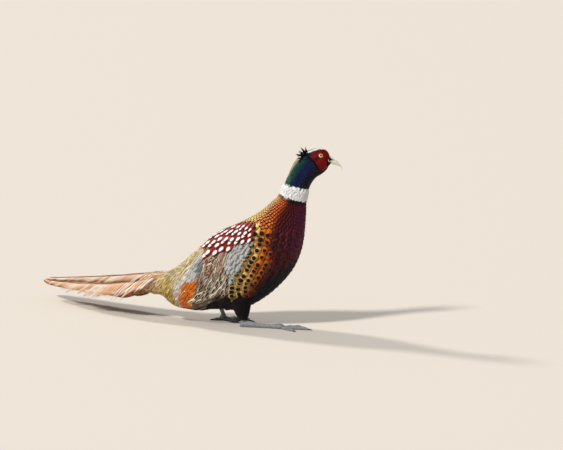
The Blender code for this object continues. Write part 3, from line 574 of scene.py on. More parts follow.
class Coat:
    # many feathers joined in one mesh
    def __init__(self):
        self.groups = []

    def add(self, centre, across, out, half, look, place, thick, camber):
        # each feather is a thin closed blade: its stations are rings of edge, top, edge and underside,
        # with a point at the root and one at the tip
        look = {**plainLook, **look}
        count, stations, _ = centre.shape
        share = np.broadcast_to(look["share"], (count, stations))
        half = np.broadcast_to(half, (count, stations))[:, 1:-1, None]
        mid = centre[:, 1:-1]
        wide = across[:, 1:-1] * half
        low = out[:, 1:-1] * half * camber
        swell = out[:, 1:-1] * thick / 2
        rings = np.stack([mid - wide - low, mid + swell, mid + wide - low, mid - swell], 2)
        points = np.concatenate([rings.reshape(count, -1, 3), centre[:, :1], centre[:, -1:]], 1)
        ringCount = stations - 2
        sideways = np.concatenate([np.tile([-1.0, 0, 1, 0], ringCount), [0, 0]])
        lengths = np.concatenate([np.repeat(share[:, 1:-1], 4, axis=1), share[:, :1], share[:, -1:]], 1)
        root, tip, last = 4 * ringCount, 4 * ringCount + 1, 4 * (ringCount - 1)
        faces = []
        for k in range(4):
            n = (k + 1) % 4
            faces += [(root, n, k), (last + k, last + n, tip)]
            for r in range(0, last, 4):
                faces += [(r + k, r + n, r + n + 4), (r + k, r + n + 4, r + k + 4)]
        faces = np.array(faces)
        corner = (points - points.mean(1, keepdims=True))[:, faces]
        held = (corner[:, :, 0] * np.cross(corner[:, :, 1], corner[:, :, 2])).sum((1, 2))
        every = faces[None] + (np.arange(count) * points.shape[1])[:, None, None]
        every = np.where(held[:, None, None] > 0, every, every[:, :, ::-1])
        seed = draw.uniform(0, 1, count)
        tint = 1 + look["vary"] * (draw.uniform(0, 1, (count, 1)) - 0.5)
        patch = stacked(sideways * 0.0015, (lengths - 0.5) * 0.003)
        group = {
            "points": points.reshape(-1, 3),
            "faces": every.reshape(-1, 3),
            "vane": stacked(sideways, lengths, seed[:, None]).reshape(-1, 3),
            "bake": (patch + place[:, None]).reshape(-1, 2),
        }
        for key in ("ground", "mark", "spot", "edge"):
            values = look[key] * tint if key == "ground" else look[key]
            group[key] = np.repeat(np.broadcast_to(values, (count, 3)), points.shape[1], 0)
        self.groups.append(group)

    def build(self, name, material, nodes=()):
        # all groups posed as one piece, with nothing below the floor
        points, faces = joined([(g["points"], g["faces"]) for g in self.groups])
        points = pose(points)
        points[:, 2] = np.maximum(points[:, 2], 0.4)
        colours, vectors, bake = (
            {key: np.concatenate([g[key] for g in self.groups]) for key in keys}
            for keys in (("ground", "mark"), ("vane", "spot", "edge"), ("bake",))
        )
        addPiece(name, points, faces, material, nodes, colours, vectors, bake["bake"])


def unwrap(along, angle):
    # the skin laid flat inside a margin: angle across and along upwards
    across = 0.02 + 0.96 * ((np.asarray(angle) / 360 + 0.5) % 1)
    return np.stack([across, 0.02 + 0.96 * (np.asarray(along) + 2) / 23], -1)


# a feather's outline: shares of its length, and its half width there as a share of the widest
contour = np.array([(0, 0.1), (0.18, 0.55), (0.45, 0.9), (0.72, 1.0), (0.9, 0.74), (0.975, 0.38), (1, 0)]).T
small = np.array([(0, 0.2), (0.3, 0.85), (0.7, 1.0), (0.93, 0.55), (1, 0)]).T
hair = np.array([(0, 0.3), (0.25, 0.9), (0.55, 1.0), (0.82, 0.6), (1, 0)]).T
quill = np.array([(0, 0.1), (0.1, 0.4), (0.25, 0.8), (0.45, 0.96), (0.65, 1.0), (0.82, 0.88), (0.93, 0.62),
                  (0.98, 0.34), (1, 0)]).T


def each(value, count):
    # one value, or one for each feather, as a column
    return np.broadcast_to(np.asarray(value, float), (count,))[:, None]


def walk(start, length, heading, share, curl=0.0):
    # paths over the plumage: back along the body, turned down the side by heading degrees and by curl more at
    # the end
    place = np.asarray(start, float)
    count = len(place)
    sign = np.where(place[:, 1] < 0, -1.0, 1.0)[:, None]
    path = [place]
    for first, last in zip(share[:-1], share[1:]):
        _, byAlong, byAngle, out = bodyFrame(place[:, 0], place[:, 1])
        back = -unit(byAlong)
        down = unit(np.cross(out, back))
        down = down * np.sign((down * byAngle).sum(-1, keepdims=True)) * sign
        turn = each(np.radians(heading + curl * first), count)
        step = onGrid(back * np.cos(turn) + down * np.sin(turn), byAlong, byAngle)
        place = place + np.stack(step, -1) * (each(length, count) * (last - first))
        place[:, 0] = np.clip(place[:, 0], -1.95, 20.95)
        path.append(place)
    return np.stack(path, 1)


def through(place, length, heading, at):
    # the root of the feather that passes over a place at the given share of its length
    return walk(place, -at * np.asarray(length, float), heading, (0, 0.5, 1))[:, -1]


def glide(root, tip, share):
    # paths that share out evenly the way from root to tip in along and angle
    return root[:, None] + (tip - root)[:, None] * share[:, None]


def lay(coat, path, width, lifts, look, shape=contour, tilt=0.0, thick=0.34, camber=0.14):
    # feathers that lie along paths on the plumage, rising from the first lift at the root to the second at the
    # tip
    share, spread = shape
    count = len(path)
    here, _, byAngle, out = bodyFrame(path[..., 0], path[..., 1])
    first, last = (each(lift, count) for lift in lifts)
    centre = here + out * (first + (last - first) * share**0.8)[..., None]
    way = unit(np.gradient(centre, axis=1))
    across = unit(np.cross(way, out))
    sign = np.sign((across * byAngle).sum(-1)[:, :1]) * np.where(path[:, :1, 1] < 0, -1.0, 1.0)
    across = across * sign[..., None]
    coat.add(centre, unit(across + out * tilt), unit(out - across * tilt), each(width, count) / 2 * spread,
             {**look, "share": share}, unwrap(path[:, 0, 0], path[:, 0, 1]), thick, camber)


def scatter(low, high, gap, rowShare=0.85, jitter=0.16):
    # rows across the body: each row shares out its girth at the wanted gap, and the next is half a step round
    fine = np.linspace(-180, 180, 361)
    middle = np.abs(fine[1:] + fine[:-1]) / 2
    found = []
    along = low
    while along < high:
        covered = runningSum(stepsOf(straightBody(along, fine)) / gap(along, middle))
        total = max(4, int(round(covered[-1])))
        wanted = (np.arange(total) + 0.5 * (len(found) % 2)) * covered[-1] / total
        wanted = wanted + jitter * draw.uniform(-1, 1, total)
        angle = np.interp(wanted % covered[-1], covered, fine)
        stride = np.linalg.norm(straightBody(along + 0.02, 80) - straightBody(along, 80)) / 0.02
        step = gap(along, 80.0) * rowShare / stride
        found.append(np.column_stack([along + step * jitter * draw.uniform(-1, 1, total), angle]))
        along += step
    return np.concatenate(found)


# the skin

skin = {"depth": 1.7, "rows": 340, "columns": 168}


def thighPatch(hand, share):
    # the thighs' own strip of the flat skin
    return stacked(0.005 + 0.01 * share, {"right": 0.3, "left": 0.6}[hand])


def buildSkin():
    # the plumage's own surface, sunk by the coat's depth, with the thighs in the same mesh
    along = np.linspace(0.02, 20.98, skin["rows"])[:, None]
    angle = np.linspace(-180, 180, skin["columns"], endpoint=False)[None]
    points, faces = tube(bodySurface(along, angle, -skin["depth"]))
    flat = np.concatenate([stacked(along, angle).reshape(-1, 2), [[0.0, 0.0], [21.0, 0.0]]])
    ground = markings(flat[:, 0], flat[:, 1])[0]
    place = unwrap(flat[:, 0], flat[:, 1])
    for hand, rings in thighRings().items():
        thigh = tube(rings)
        count = len(thigh[0])
        points, faces = joined([(points, faces), thigh])
        ground = np.concatenate([ground, np.tile(paints["belly"], (count, 1))])
        place = np.concatenate([place, thighPatch(hand, np.linspace(0, 1, count))])
    f = Finish("skinUnderDown", Roughness=0.75, Specular_IOR_Level=0.15)
    fuzz = f.noise(420, 4)
    colour = f.mix(((fuzz - 0.45) * 1.2).held() * 0.6, f.attribute("ground", "Color"), (0, 0, 0))
    f.show(Base_Color=colour, Normal=f.bump(fuzz, 0.0008, 0.5))
    addPiece("skin", points, faces, f.material,
             ("torso", "neck", "head", "rump", "thigh_left", "thigh_right"), {"ground": ground}, bake=place)


def levelRings(centres, radii, sides=28, rows=26):
    # level circles whose middles and radii follow smooth curves
    places = np.arange(len(centres), dtype=float)
    at = np.linspace(0, len(centres) - 1, rows)
    middle = spline(places, np.asarray(centres, float), at)
    radius = spline(places, np.asarray(radii, float)[:, None], at)[..., 0]
    turn = np.arange(sides) * 2 * math.pi / sides
    circle = np.stack([np.cos(turn), np.sin(turn), np.zeros(sides)], 1)
    return middle[:, None] + circle[None] * radius[:, None, None]


legs = {
    "heel": np.array([14.0, -35.0, 0.0]),
    "rightFoot": np.array([80.3, -35.0]),
    "leftFoot": np.array([-52.0, 35.0]),
    # each toe's turn out from straight ahead in degrees, its length and its half width
    "toes": {"inner": (34, 40, 3.6), "middle": (2, 52, 3.9), "outer": (-36, 42, 3.6), "hind": (0, 20, 3.0)},
    "nail": 9.3,
    "middleNail": 11.3,
    "plates": 2.3,
}


def thighRings():
    # level rings from the belly's feathers down to each shank
    heel = legs["heel"]
    foot = np.array([*legs["leftFoot"], 0])
    return {
        "right": levelRings([heel + (-8, 14, 64), heel + (-7, 7, 45), heel + (-3, 1, 27), heel + (0, 0, 13.6)],
                            [11, 17.5, 13, 6.6]),
        "left": levelRings([foot + (-9, -16, 60), foot + (-9, -12, 46), foot + (-7, -4, 34),
                            foot + (-6, 0, 24)], [6, 7.5, 8.6, 5.6]),
    }


buildSkin()


# feathers of the head and neck

headCoat = {"length": 3.1, "width": 1.7, "collarSwell": 2.3, "dots": 150, "dotLength": 1.7, "dotWidth": 0.62}
headGap = curve((11.9, 13.5, 16, 17.5, 20.9), (3.3, 3.0, 2.5, 1.8, 1.3))


def buildHeadCoat():
    # small round feathers; the face round the eye stays bare but for rows of tiny dark ones
    coat = Coat()
    root = scatter(11.85, 20.9, lambda along, angle: headGap(along))
    t = np.abs(root[:, 1])
    away = straightBody(root[:, 0], t) - straightBody(*eye["place"])
    turn = np.degrees(np.arctan2(away[:, 2], away[:, 0]))
    bare = (np.hypot(away[:, 0], away[:, 2]) < wattleReach(turn) - 1.2) & (t > 20) & (t < 150)
    root = root[~bare]
    size = headGap(root[:, 0])
    length = size * headCoat["length"] * draw.uniform(0.9, 1.1, len(root))
    path = walk(root, length, draw.normal(0, 5, len(root)), small[0])
    ground, _ = markings(path[:, 2, 0], path[:, 2, 1])
    dark = ground.sum(1, keepdims=True) < 0.6
    ground = ground * (1 + 0.35 * draw.uniform(-1, 1, (len(root), 1)) * dark)
    swell = headCoat["collarSwell"] * between(path[:, 2, 0], 12.05, 13.2, 0.25)
    lay(coat, path, size * headCoat["width"], (-1.5, 0.35 + 0.1 * size + swell), {"ground": ground}, small,
        thick=0.25)
    faceDots(coat)
    buildTufts(coat)
    billBristles(coat)
    coat.build("headAndNeckFeathers",
               plumage("glossyNeck", barbs=9, relief=0.0002, streak=0.05, metal=0.5, Roughness=0.4,
                       Specular_IOR_Level=0.35))


def faceDots(coat):
    # tiny dark feathers in curved rows over the bare red face
    middle = straightBody(*eye["place"])
    order = np.arange(headCoat["dots"])
    turn = (order * evenTurn) % 360
    reach = 6.2 + (wattleReach(turn) - 7.4) * np.sqrt((order + 0.5) / len(order))
    along, angle = headSide(middle[0] + reach * np.cos(np.radians(turn)),
                            middle[2] + reach * np.sin(np.radians(turn)))
    lift = fleshHeight(turn, (reach - wattle["inner"]) / (wattleReach(turn) - wattle["inner"]))
    keep = (along < 20.5) & (angle > 24)
    along, angle, lift = along[keep], angle[keep], lift[keep]
    for side, _ in hands:
        path = walk(np.column_stack([along, side * angle]), headCoat["dotLength"], 0.0, small[0])
        lay(coat, path, headCoat["dotWidth"], (lift - 0.25, lift + 0.5), {"ground": paints["ink"]}, small,
            thick=0.2)


def strands(coat, side, centre, flat, face, width, look, place, thick):
    # narrow feathers along given middle lines, mirrored to their side
    mirror = np.array([1, side, 1])
    flat, face = (np.broadcast_to(way, centre.shape) for way in (flat, face))
    coat.add(centre * mirror, flat * mirror, face * mirror, width / 2 * hair[1][None],
             {**look, "share": hair[0]}, place, thick, 0.2)


tuft = {
    "strands": 16,
    "length": (13, 17, 15.5, 18.5, 14, 15, 11),
    "climb": (78, 50, 27, 8, -6, -24, -48),
    "width": 1.0,
}


def buildTufts(coat):
    # ear tufts: each spike is a bundle of narrow feathers whose tips draw together, and the spikes fan out from
    # steep to hanging
    spikes, bundle = len(tuft["length"]), tuft["strands"]
    share = hair[0]
    for side, _ in hands:
        u = np.repeat(np.linspace(0, 1, spikes), bundle)
        count = len(u)
        along = 17.0 - 0.75 * u + 0.13 * draw.normal(0, 1, count)
        angle = 26 + 22 * u + 4.0 * draw.normal(0, 1, count)
        here, _, _, out = bodyFrame(along, angle)
        start = here - out * 1.4
        climb = np.radians(np.repeat(tuft["climb"], bundle))
        way = unit(np.stack([-np.cos(climb), -0.1 - 0.15 * u, np.sin(climb)], -1))
        length = np.repeat(tuft["length"], bundle) * draw.uniform(0.7, 1.03, count)
        middle = start.reshape(spikes, -1, 3).mean(1).repeat(bundle, 0)
        centre = start[:, None] + way[:, None] * (length[:, None] * share)[..., None]
        centre = centre + (middle - start)[:, None] * (0.9 * smooth(share * 1.15))[None, :, None]
        centre = centre + np.sin(share * math.pi)[None, :, None] * draw.normal(0, 0.35, (count, 1, 3))
        flat = unit(np.cross(way, (0, 1, 0)))
        look = {"ground": paints["navy"] * 0.25 + paints["ink"] * 0.6, "vary": 0.9}
        strands(coat, side, centre, flat[:, None], unit(np.cross(flat, way))[:, None], tuft["width"], look,
                unwrap(along, angle * side), 0.3)


bristle = {"count": 70, "above": 0.45, "width": 1.5}


def billBristles(coat):
    # short dark feathers that point forward over the base of the bill: a share of them above the parting, and
    # the others from there down under the chin
    count, above = bristle["count"], bristle["above"]
    share = hair[0]
    for side, _ in hands:
        u = draw.uniform(0, 1, count)
        low = draw.uniform(0, 1, count) ** 1.5
        high = u < above
        over, under = u / above, (u - above) / (1 - above)
        x = np.where(high, 162.4, 159.5 + 3.0 * under)
        y = np.where(high, 6.4, 1.2 + 5.2 * under)
        z = np.where(high, 308.2 + 5.5 * over, 297.5 + 6.5 * under)
        length = np.where(high, 4.2 + 2.4 * np.sin(over * math.pi), 6.2 - 1.5 * low)
        way = unit(stacked(1.0, np.where(high, -0.02, 0.05), np.where(high, -0.1, 0.3)))
        centre = stacked(x, 0.6 - y, z)[:, None] + way[:, None] * (length[:, None] * share)[..., None]
        centre[..., 1] -= 0.9 * np.sin(share * math.pi * 0.8)
        face = np.array([0.0, -1.0, 0.15])
        strands(coat, side, centre, unit(np.cross(way, face))[:, None], face, bristle["width"],
                {"ground": paints["ink"], "vary": 0.5},
                unwrap(np.full(count, 20.8), np.full(count, 100.0 * side)), 0.25)


# the wattle and the eye

eye = {"place": (18.47, 70.0), "radius": 5.6, "depth": 3.2, "pupil": 1.95, "iris": 4.35}
wattle = {
    "turns": 300, "rows": 48, "inner": 4.7, "lift": 0.1, "bead": 1.15, "beadHeight": 0.4,
    # outline of the bare face: degrees round the eye from straight ahead, and reach in mm
    "turn": (-13, 16, 46, 67, 100, 139, 169, 183, 196, 225, 250, 270, 293, 305, 330, 347, 376),
    "reach": (18.5, 14.9, 13.7, 11.2, 10.0, 11.6, 17.5, 21.0, 18.8, 15.4, 19.4, 26.8, 24.4, 18.4, 14.9, 18.5,
              14.9),
}


def wattleReach(turn):
    # the outline's spline, with each turn brought within a whole circle from the first
    first = wattle["turn"][0]
    turn = (np.asarray(turn) - first) % 360 + first
    return spline(np.array(wattle["turn"], float), np.array(wattle["reach"])[:, None], turn)[..., 0]


def headSide(x, z):
    # the place (along, angle) on the side of the straight head that is seen at x, z, found by Newton steps
    along = np.full(x.shape, 18.0)
    angle = np.full(x.shape, 80.0)
    for _ in range(30):
        here = straightBody(along, angle)
        byAlong = (straightBody(along + 0.01, angle) - here) / 0.01
        byAngle = (straightBody(along, angle + 0.1) - here) / 0.1
        missX = x - here[..., 0]
        missZ = z - here[..., 2]
        scale = byAlong[..., 0] * byAngle[..., 2] - byAlong[..., 2] * byAngle[..., 0]
        along = along + np.clip((missX * byAngle[..., 2] - missZ * byAngle[..., 0]) / scale, -0.5, 0.5)
        angle = angle + np.clip((missZ * byAlong[..., 0] - missX * byAlong[..., 2]) / scale, -12, 12)
        along = np.clip(along, 14, 20.8)
        angle = np.clip(angle, 10, 168)
    return along, angle


def fleshEdge(share):
    # 1 over most of the width, falling off steeply at both edges
    return np.sqrt(np.clip(1 - np.abs(2 * share - 1) ** 8, 0, 1))


def fleshHeight(turn, share):
    # thin behind and above, full in the lobe that hangs below the eye
    lobe = np.exp(-(((turn - 272) / 34) ** 2)) * smooth(share * 1.6)
    return wattle["lift"] + (1.0 + 1.0 * lobe) * fleshEdge(share)


def buildWattles():
    # bare skin in small beads: three sets of waves at sixty degrees make the beads, and folds run out from the
    # eye
    centre = straightBody(*eye["place"])
    turn = (np.arange(wattle["turns"]) * 360 / wattle["turns"])[:, None]
    share = np.linspace(0, 1, wattle["rows"])[None]
    reach = wattle["inner"] + (wattleReach(turn) - wattle["inner"]) * share
    x = np.minimum(centre[0] + reach * np.cos(np.radians(turn)), 163.8)
    z = np.minimum(centre[2] + reach * np.sin(np.radians(turn)), 327.5)
    along, angle = headSide(x, z)
    wave = 2 * math.pi / wattle["bead"]
    wobble = 0.5 * np.sin(x * 0.9 + z * 0.4) + 0.5 * np.sin(z * 1.1 - x * 0.3)
    beads = sum(np.cos(wave * (x * math.cos(a) + z * math.sin(a)) + wobble)
                for a in (0.3, 0.3 + math.pi / 3, 0.3 + 2 * math.pi / 3))
    folds = 0.3 * np.sin(7 * np.radians(turn) + 4 * share) * share
    beadHeight = wattle["beadHeight"] * np.clip(beads / 3, -0.4, 1)
    over = fleshHeight(turn, share) + (folds + beadHeight) * fleshEdge(share)
    shadow = np.exp(-(((x - centre[0] + 8) / 6.5) ** 2) - ((z - centre[2] + 6) / 3.2) ** 2)
    shadow = shadow + 0.7 * smooth((-(x - centre[0]) - 9) / 9)
    f = Finish("wattleSkin", Roughness=0.5, Subsurface_Weight=0.1, Subsurface_Scale=0.002,
               Specular_IOR_Level=0.15)
    shade, bead, _ = f.parts(f.attribute("flesh"))
    grain = f.noise(1300, 2)
    patch = f.noise(150, 3)
    colour = f.mix(((patch - 0.42) * 3.0).held(), paint(116, 0, 5), paint(168, 0, 8))
    # painted shade: the skin darkens in the hollows between the beads
    colour = f.mix((0.5 - bead * 0.5).held(), colour, paint(50, 0, 4))
    colour = f.mix(shade.held() * 0.8, colour, paint(12, 4, 14))
    f.show(Base_Color=colour, Normal=f.bump(grain, 0.0003, 0.6))
    # the second value is high on the beads and low between them, where painted shade darkens the skin
    flesh = stacked(shadow, np.clip(0.5 + beads / 3, 0, 1), 0.0)
    flesh = np.concatenate([flesh, flesh[:, ::-1]], 1).reshape(-1, 3)
    for side, hand in hands:
        under = bodySurface(along, side * angle, -1.0)
        points, faces = ringShell(under, bodySurface(along, side * angle, over))
        addPiece("wattleFlesh" + hand.capitalize(), points, faces, f.material,
                 ("wattle_" + hand,), vectors={"flesh": flesh})


def eyeFinish():
    # gaze holds the distance from the pupil as a share of the iris, and the turn round it
    f = Finish("eyeGlass", Roughness=0.06, Coat_Weight=1.0, Coat_Roughness=0.02, Specular_IOR_Level=0.6)
    ring, around, _ = f.parts(f.attribute("gaze"))
    rays = ((around * 150.0).wave() * 0.5 + 0.5) * 0.35 + f.noise(700, 3) * 0.6
    iris = f.mix(rays.held(), paint(255, 222, 130), paint(240, 168, 62))
    iris = f.mix(((ring - 0.74) * 7.0).held(), iris, paint(150, 84, 30))
    colour = f.mix(((ring - 1.0) * 16.0).held(), iris, paint(20, 8, 8))
    pupil = ((eye["pupil"] / eye["iris"] - ring) * 24.0 + 0.5).held()
    return f.show(Base_Color=f.mix(pupil, colour, (0.002, 0.002, 0.003)))


def lidFinish():
    # dark red skin in fine wrinkles
    f = Finish("lidSkin", Roughness=0.5, Specular_IOR_Level=0.3)
    wrinkle = f.noise(1500, 2)
    return f.show(Base_Color=f.mix(wrinkle, paint(30, 2, 6), paint(96, 12, 16)),
                  Normal=f.bump(wrinkle, 0.0003, 0.6))


def buildEyes():
    # a ball whose rings run out from the way it looks: pupil, iris with fine rays, and dark rim
    glass, lidSkin = eyeFinish(), lidFinish()
    radius, iris = eye["radius"], eye["iris"]
    for side, hand in hands:
        along, angle = np.array(eye["place"][0]), np.array(side * eye["place"][1])
        gaze = unit(bodySurface(along, angle, 4.0) - bodySurface(along, angle, 0.0))
        centre = bodySurface(along, angle, -eye["depth"])
        level = unit(np.cross(gaze, (0, 0, 1.0)))
        upper = np.cross(level, gaze)
        polar = np.linspace(0.02, math.pi - 0.02, 60)[:, None]
        turn = np.linspace(0, 2 * math.pi, 64, endpoint=False)[None]
        bulge = radius * (1 + 0.03 * np.exp(-((polar / 0.5) ** 2)))
        spoke = np.cos(turn)[..., None] * level + np.sin(turn)[..., None] * upper
        rings = centre + bulge[..., None] * (np.cos(polar)[..., None] * gaze + np.sin(polar)[..., None] * spoke)
        points, faces = tube(rings)
        fromPupil = np.where(polar > math.pi / 2, 3.0, radius * np.sin(polar) / iris)
        gazes = stacked(fromPupil, turn / (2 * math.pi), 0.0).reshape(-1, 3)
        gazes = np.concatenate([gazes, [[0, 0, 0], [3, 0, 0]]])
        addPiece("eyeball" + hand.capitalize(), points, faces, glass, ("eye_" + hand,),
                 vectors={"gaze": gazes})

        # the lids: a rolled rim round the opening, fuller above
        turn = np.linspace(0, 2 * math.pi, 96, endpoint=False)[:, None]
        section = np.linspace(0, 2 * math.pi, 14, endpoint=False)[None]
        fuller = 0.62 + 0.28 * np.clip(np.sin(turn), 0, 1)
        opening = iris + 0.42 - 0.22 * np.abs(np.sin(turn)) ** 3
        stand = np.sqrt(radius**2 - (iris + 0.1) ** 2) + 0.15
        spoke = np.cos(turn)[..., None] * level + np.sin(turn)[..., None] * upper
        crease = 1 + 0.09 * np.sin(turn * 34) * (np.cos(section) > 0)
        rim = centre + spoke * (opening + fuller * np.cos(section) * crease)[..., None] + gaze * (
            stand + fuller * 0.75 * np.sin(section))[..., None]
        points, faces = ringShell(rim[:, :7][:, ::-1], rim[:, 7:])
        addPiece("lids" + hand.capitalize(), points, faces, lidSkin)


# the bill

bill = {"baseX": 163.4, "length": 25.3, "top": 317.6, "parting": 307.9, "half": 6.6, "lowerShare": 0.78,
        "lowerDepth": 4.6, "sides": 56, "rows": 80}


def billLines(share):
    # culmen and parting: both fall evenly and then sharply into the hook
    return bill["top"] - 17.0 * share - 8.5 * share**5, bill["parting"] - 10.0 * share - 8.0 * share**6


def buildBill():
    # each ring is a rounded arch from the parting to the culmen; the nostril is a hollow under a horny flap
    share = (1 - (1 - np.linspace(0, 1, bill["rows"])) ** 1.5)[:, None]
    turn = np.linspace(-math.pi, math.pi, bill["sides"], endpoint=False)[None]
    culmen, parting = billLines(share)
    close = np.sqrt(np.maximum(1 - share**24, 0.0004))
    half = bill["half"] * (1 - 0.7 * share**1.5) * close
    height = np.maximum(culmen - parting, 3.3) * close
    up = np.cos(turn)
    z = parting + height * np.sign(up) * np.abs(up) ** 0.85 * np.where(up > 0, 1, 0.08)
    y = np.sin(turn) * half
    x = bill["baseX"] + bill["length"] * share + 0 * turn
    x = x - 1.6 * np.clip(np.sin(np.abs(turn)), 0, 1) * (1 - share) ** 4
    fromNostril = ((share - 0.27) / 0.1) ** 2 + ((np.abs(turn) - 0.98 + 0.4 * (share - 0.27)) / 0.17) ** 2
    dent = 1.0 * np.exp(-(fromNostril**2))
    flap = 0.45 * np.exp(-(((share - 0.24) / 0.14) ** 2 + ((np.abs(turn) - 0.64) / 0.22) ** 2))
    side = np.stack([0 * y, np.sign(np.sin(turn)) * np.ones_like(y), 0.35 * np.ones_like(y)], -1)
    rings = np.stack([x, y, z], -1) + side * (flap - dent)[..., None]
    points, faces = tube(pose(rings))
    f = Finish("billHorn", Roughness=0.35, Coat_Weight=0.2, Coat_Roughness=0.25, Subsurface_Weight=0.1,
               Subsurface_Scale=0.002)
    # the horn's values: painted highlight (paler along the top and at the tip), painted shade in the nostril,
    # and the share down the bill for growth lines
    pale, nostrilShade, grow = f.parts(f.attribute("horn"))
    streaks = f.noise(60, 4, f.node("Mapping", {}, {"Vector": f.place(), "Scale": (1, 12, 12)}))
    colour = f.mix(pale, paint(214, 206, 176), paint(255, 252, 240))
    colour = f.mix(((streaks - 0.5) * 2.0).held() * 0.3, colour, paint(176, 166, 130))
    # painted shade: the nostril's hollow is painted dark
    colour = f.mix(nostrilShade, colour, paint(24, 18, 16))
    f.show(Base_Color=colour, Normal=f.bump(streaks + (grow * 120.0).wave() * 0.1, 0.0003, 0.4))
    # painted highlight: paler along the top of the culmen and towards the tip
    paintedShine = 0.25 + 0.75 * np.clip(np.cos(turn), 0, 1) ** 3 + 0.6 * share**4
    # the second value is the painted shade in the nostril
    horn = np.stack(np.broadcast_arrays(np.clip(paintedShine, 0, 1), np.clip(1.25 * dent, 0, 1), share + 0 * turn), -1)
    horn = np.concatenate([horn.reshape(-1, 3), [[0.3, 0, 0], [1, 0, 1]]])
    addPiece("billUpperHorn", points, faces, f.material, ("bill_upper",), vectors={"horn": horn})
    part = np.linspace(0, 1, bill["rows"])[:, None]
    share = part * bill["lowerShare"]
    _, parting = billLines(share)
    half = 0.84 * bill["half"] * (1 - 0.86 * share**1.5) * np.sqrt(np.maximum(1 - part**10, 0.0004))
    depth = bill["lowerDepth"] * (1 - 0.62 * part**1.5)
    z = parting - 0.45 - depth * np.maximum(-np.cos(turn), 0) ** 0.85 + 0.15 * np.maximum(np.cos(turn), 0)
    rings = np.stack([bill["baseX"] + bill["length"] * share + 0 * turn, np.sin(turn) * half, z], -1)
    points, faces = tube(pose(rings))
    # painted highlight: the lower bill is paler towards its tip
    horn = np.stack(np.broadcast_arrays(0.35 + 0.4 * part, 0 * part, part + 0 * turn), -1)
    horn = np.concatenate([horn.reshape(-1, 3), [[0.2, 0, 0], [0.7, 0, 1]]])
    addPiece("billLowerHorn", points, faces, f.material, ("bill_lower",), vectors={"horn": horn})


buildHeadCoat()
buildWattles()
buildEyes()
buildBill()


# feathers of the body

bodyCoat = {"length": 2.6, "width": 1.42, "lift": (-1.5, 1.7)}
bodyGap = curve((4, 6, 8.2, 9.6, 11, 12.1), (8.4, 8.6, 7.2, 5.6, 4.4, 3.6))
flank = {"rows": 7, "first": 3.5, "gap": 12.5, "step": 10.2, "length": 30, "width": 15, "heading": 16,
         "spot": (4.9, 4.9, 4.2, 3.6, 3.0, 2.5, 2.0)}
thigh = {"count": 420, "length": 0.16, "width": 4.6}


def buildBodyCoat():
    # mantle, breast, belly and back, each feather as wide and long as its own gap asks
    coat = Coat()

    def gap(along, angle):
        return bodyGap(along) * (0.78 + 0.3 * between(angle, 40, 140, 30))

    place = scatter(4.3, 12.05, gap, 0.9, 0.1)
    along, t = place[:, 0], folded(place[:, 1])
    onWing = (t > wingTop(along) + 4) & (along < wingFront(t) + 0.15) & (t < wingLow(along) - 6)
    onFlank = (t > 74) & (along < copperFront(t) - 0.5) & (t < bellyEdge(along) - 4) & (along > 5.0)
    place = place[~(onWing | onFlank)]
    t = folded(place[:, 1])
    size = gap(place[:, 0], t)
    length = size * bodyCoat["length"] * draw.uniform(0.95, 1.08, len(place))
    heading = 4 + 10 * between(t, 50, 130, 30) + draw.normal(0, 3, len(place))
    path = walk(through(place, length, heading, 0.7), length, heading, contour[0])
    ground, rim = markings(place[:, 0], place[:, 1])
    look = {"ground": ground, "edge": stacked(rim, 0.3 * (rim > 0.85), 0.0)}
    lay(coat, path, size * bodyCoat["width"], bodyCoat["lift"], look, camber=0.1)
    flankFeathers(coat)
    for hand, rings in thighRings().items():
        thighFeathers(coat, rings, hand)
    coat.build("bodyFeathers", plumage("bodyVanes", barbs=20, Roughness=0.6, Specular_IOR_Level=0.18))


def flankFeathers(coat):
    # rows parallel to the wing's front edge, each feather with a round black spot, smaller row by row
    t = np.linspace(54, 150, 400)
    line = straightBody(wingFront(t), t)
    distance = runningSum(stepsOf(line))
    for side, _ in hands:
        for row in range(flank["rows"]):
            start = 3 + flank["step"] / 2 * (row % 2)
            at = np.interp(np.arange(start, distance[-1], flank["step"]), distance, t)
            at = at + draw.uniform(-1, 1, len(at))
            place = np.column_stack([wingFront(at), at])
            run = straightBody(wingFront(at + 1), at + 1) - straightBody(wingFront(at - 1), at - 1)
            _, byAlong, _, out = bodyFrame(place[:, 0], place[:, 1])
            ahead = unit(np.cross(out, run))
            ahead = ahead * np.sign((ahead * byAlong).sum(-1, keepdims=True))
            far = flank["first"] + flank["gap"] * row + draw.uniform(-0.8, 0.8, len(at))
            for _ in range(8):
                _, byAlong, byAngle, out = bodyFrame(place[:, 0], place[:, 1])
                flat = unit(ahead - out * (ahead * out).sum(-1, keepdims=True))
                place = place + np.stack(onGrid(flat, byAlong, byAngle), -1) * (far / 8)[:, None]
            keep = (place[:, 1] < bellyEdge(place[:, 0]) + 4) & (place[:, 1] > 50) & (place[:, 0] < 10)
            place = place[keep]
            fade = 1 - 0.6 * rise(place[:, 1], bellyEdge(place[:, 0]) - 8, 14)
            radius = flank["spot"][row] * fade * draw.uniform(0.85, 1.12, len(place))
            ground, _ = markings(place[:, 0], place[:, 1])
            place = place * (1, side)
            heading = flank["heading"] + draw.normal(0, 4, len(place))
            root = through(place, flank["length"], heading, 0.8)
            path = walk(root, flank["length"], heading, contour[0])
            look = {
                "ground": ground,
                "spot": stacked(0.8, radius / flank["width"] * 2.1, radius / flank["length"] * 0.95),
                "edge": (0.1 + 0.09 * row, 0.0, 0.0),
            }
            lay(coat, path, flank["width"], (-1.0, 3.9 if row == 0 else 2.4), look)


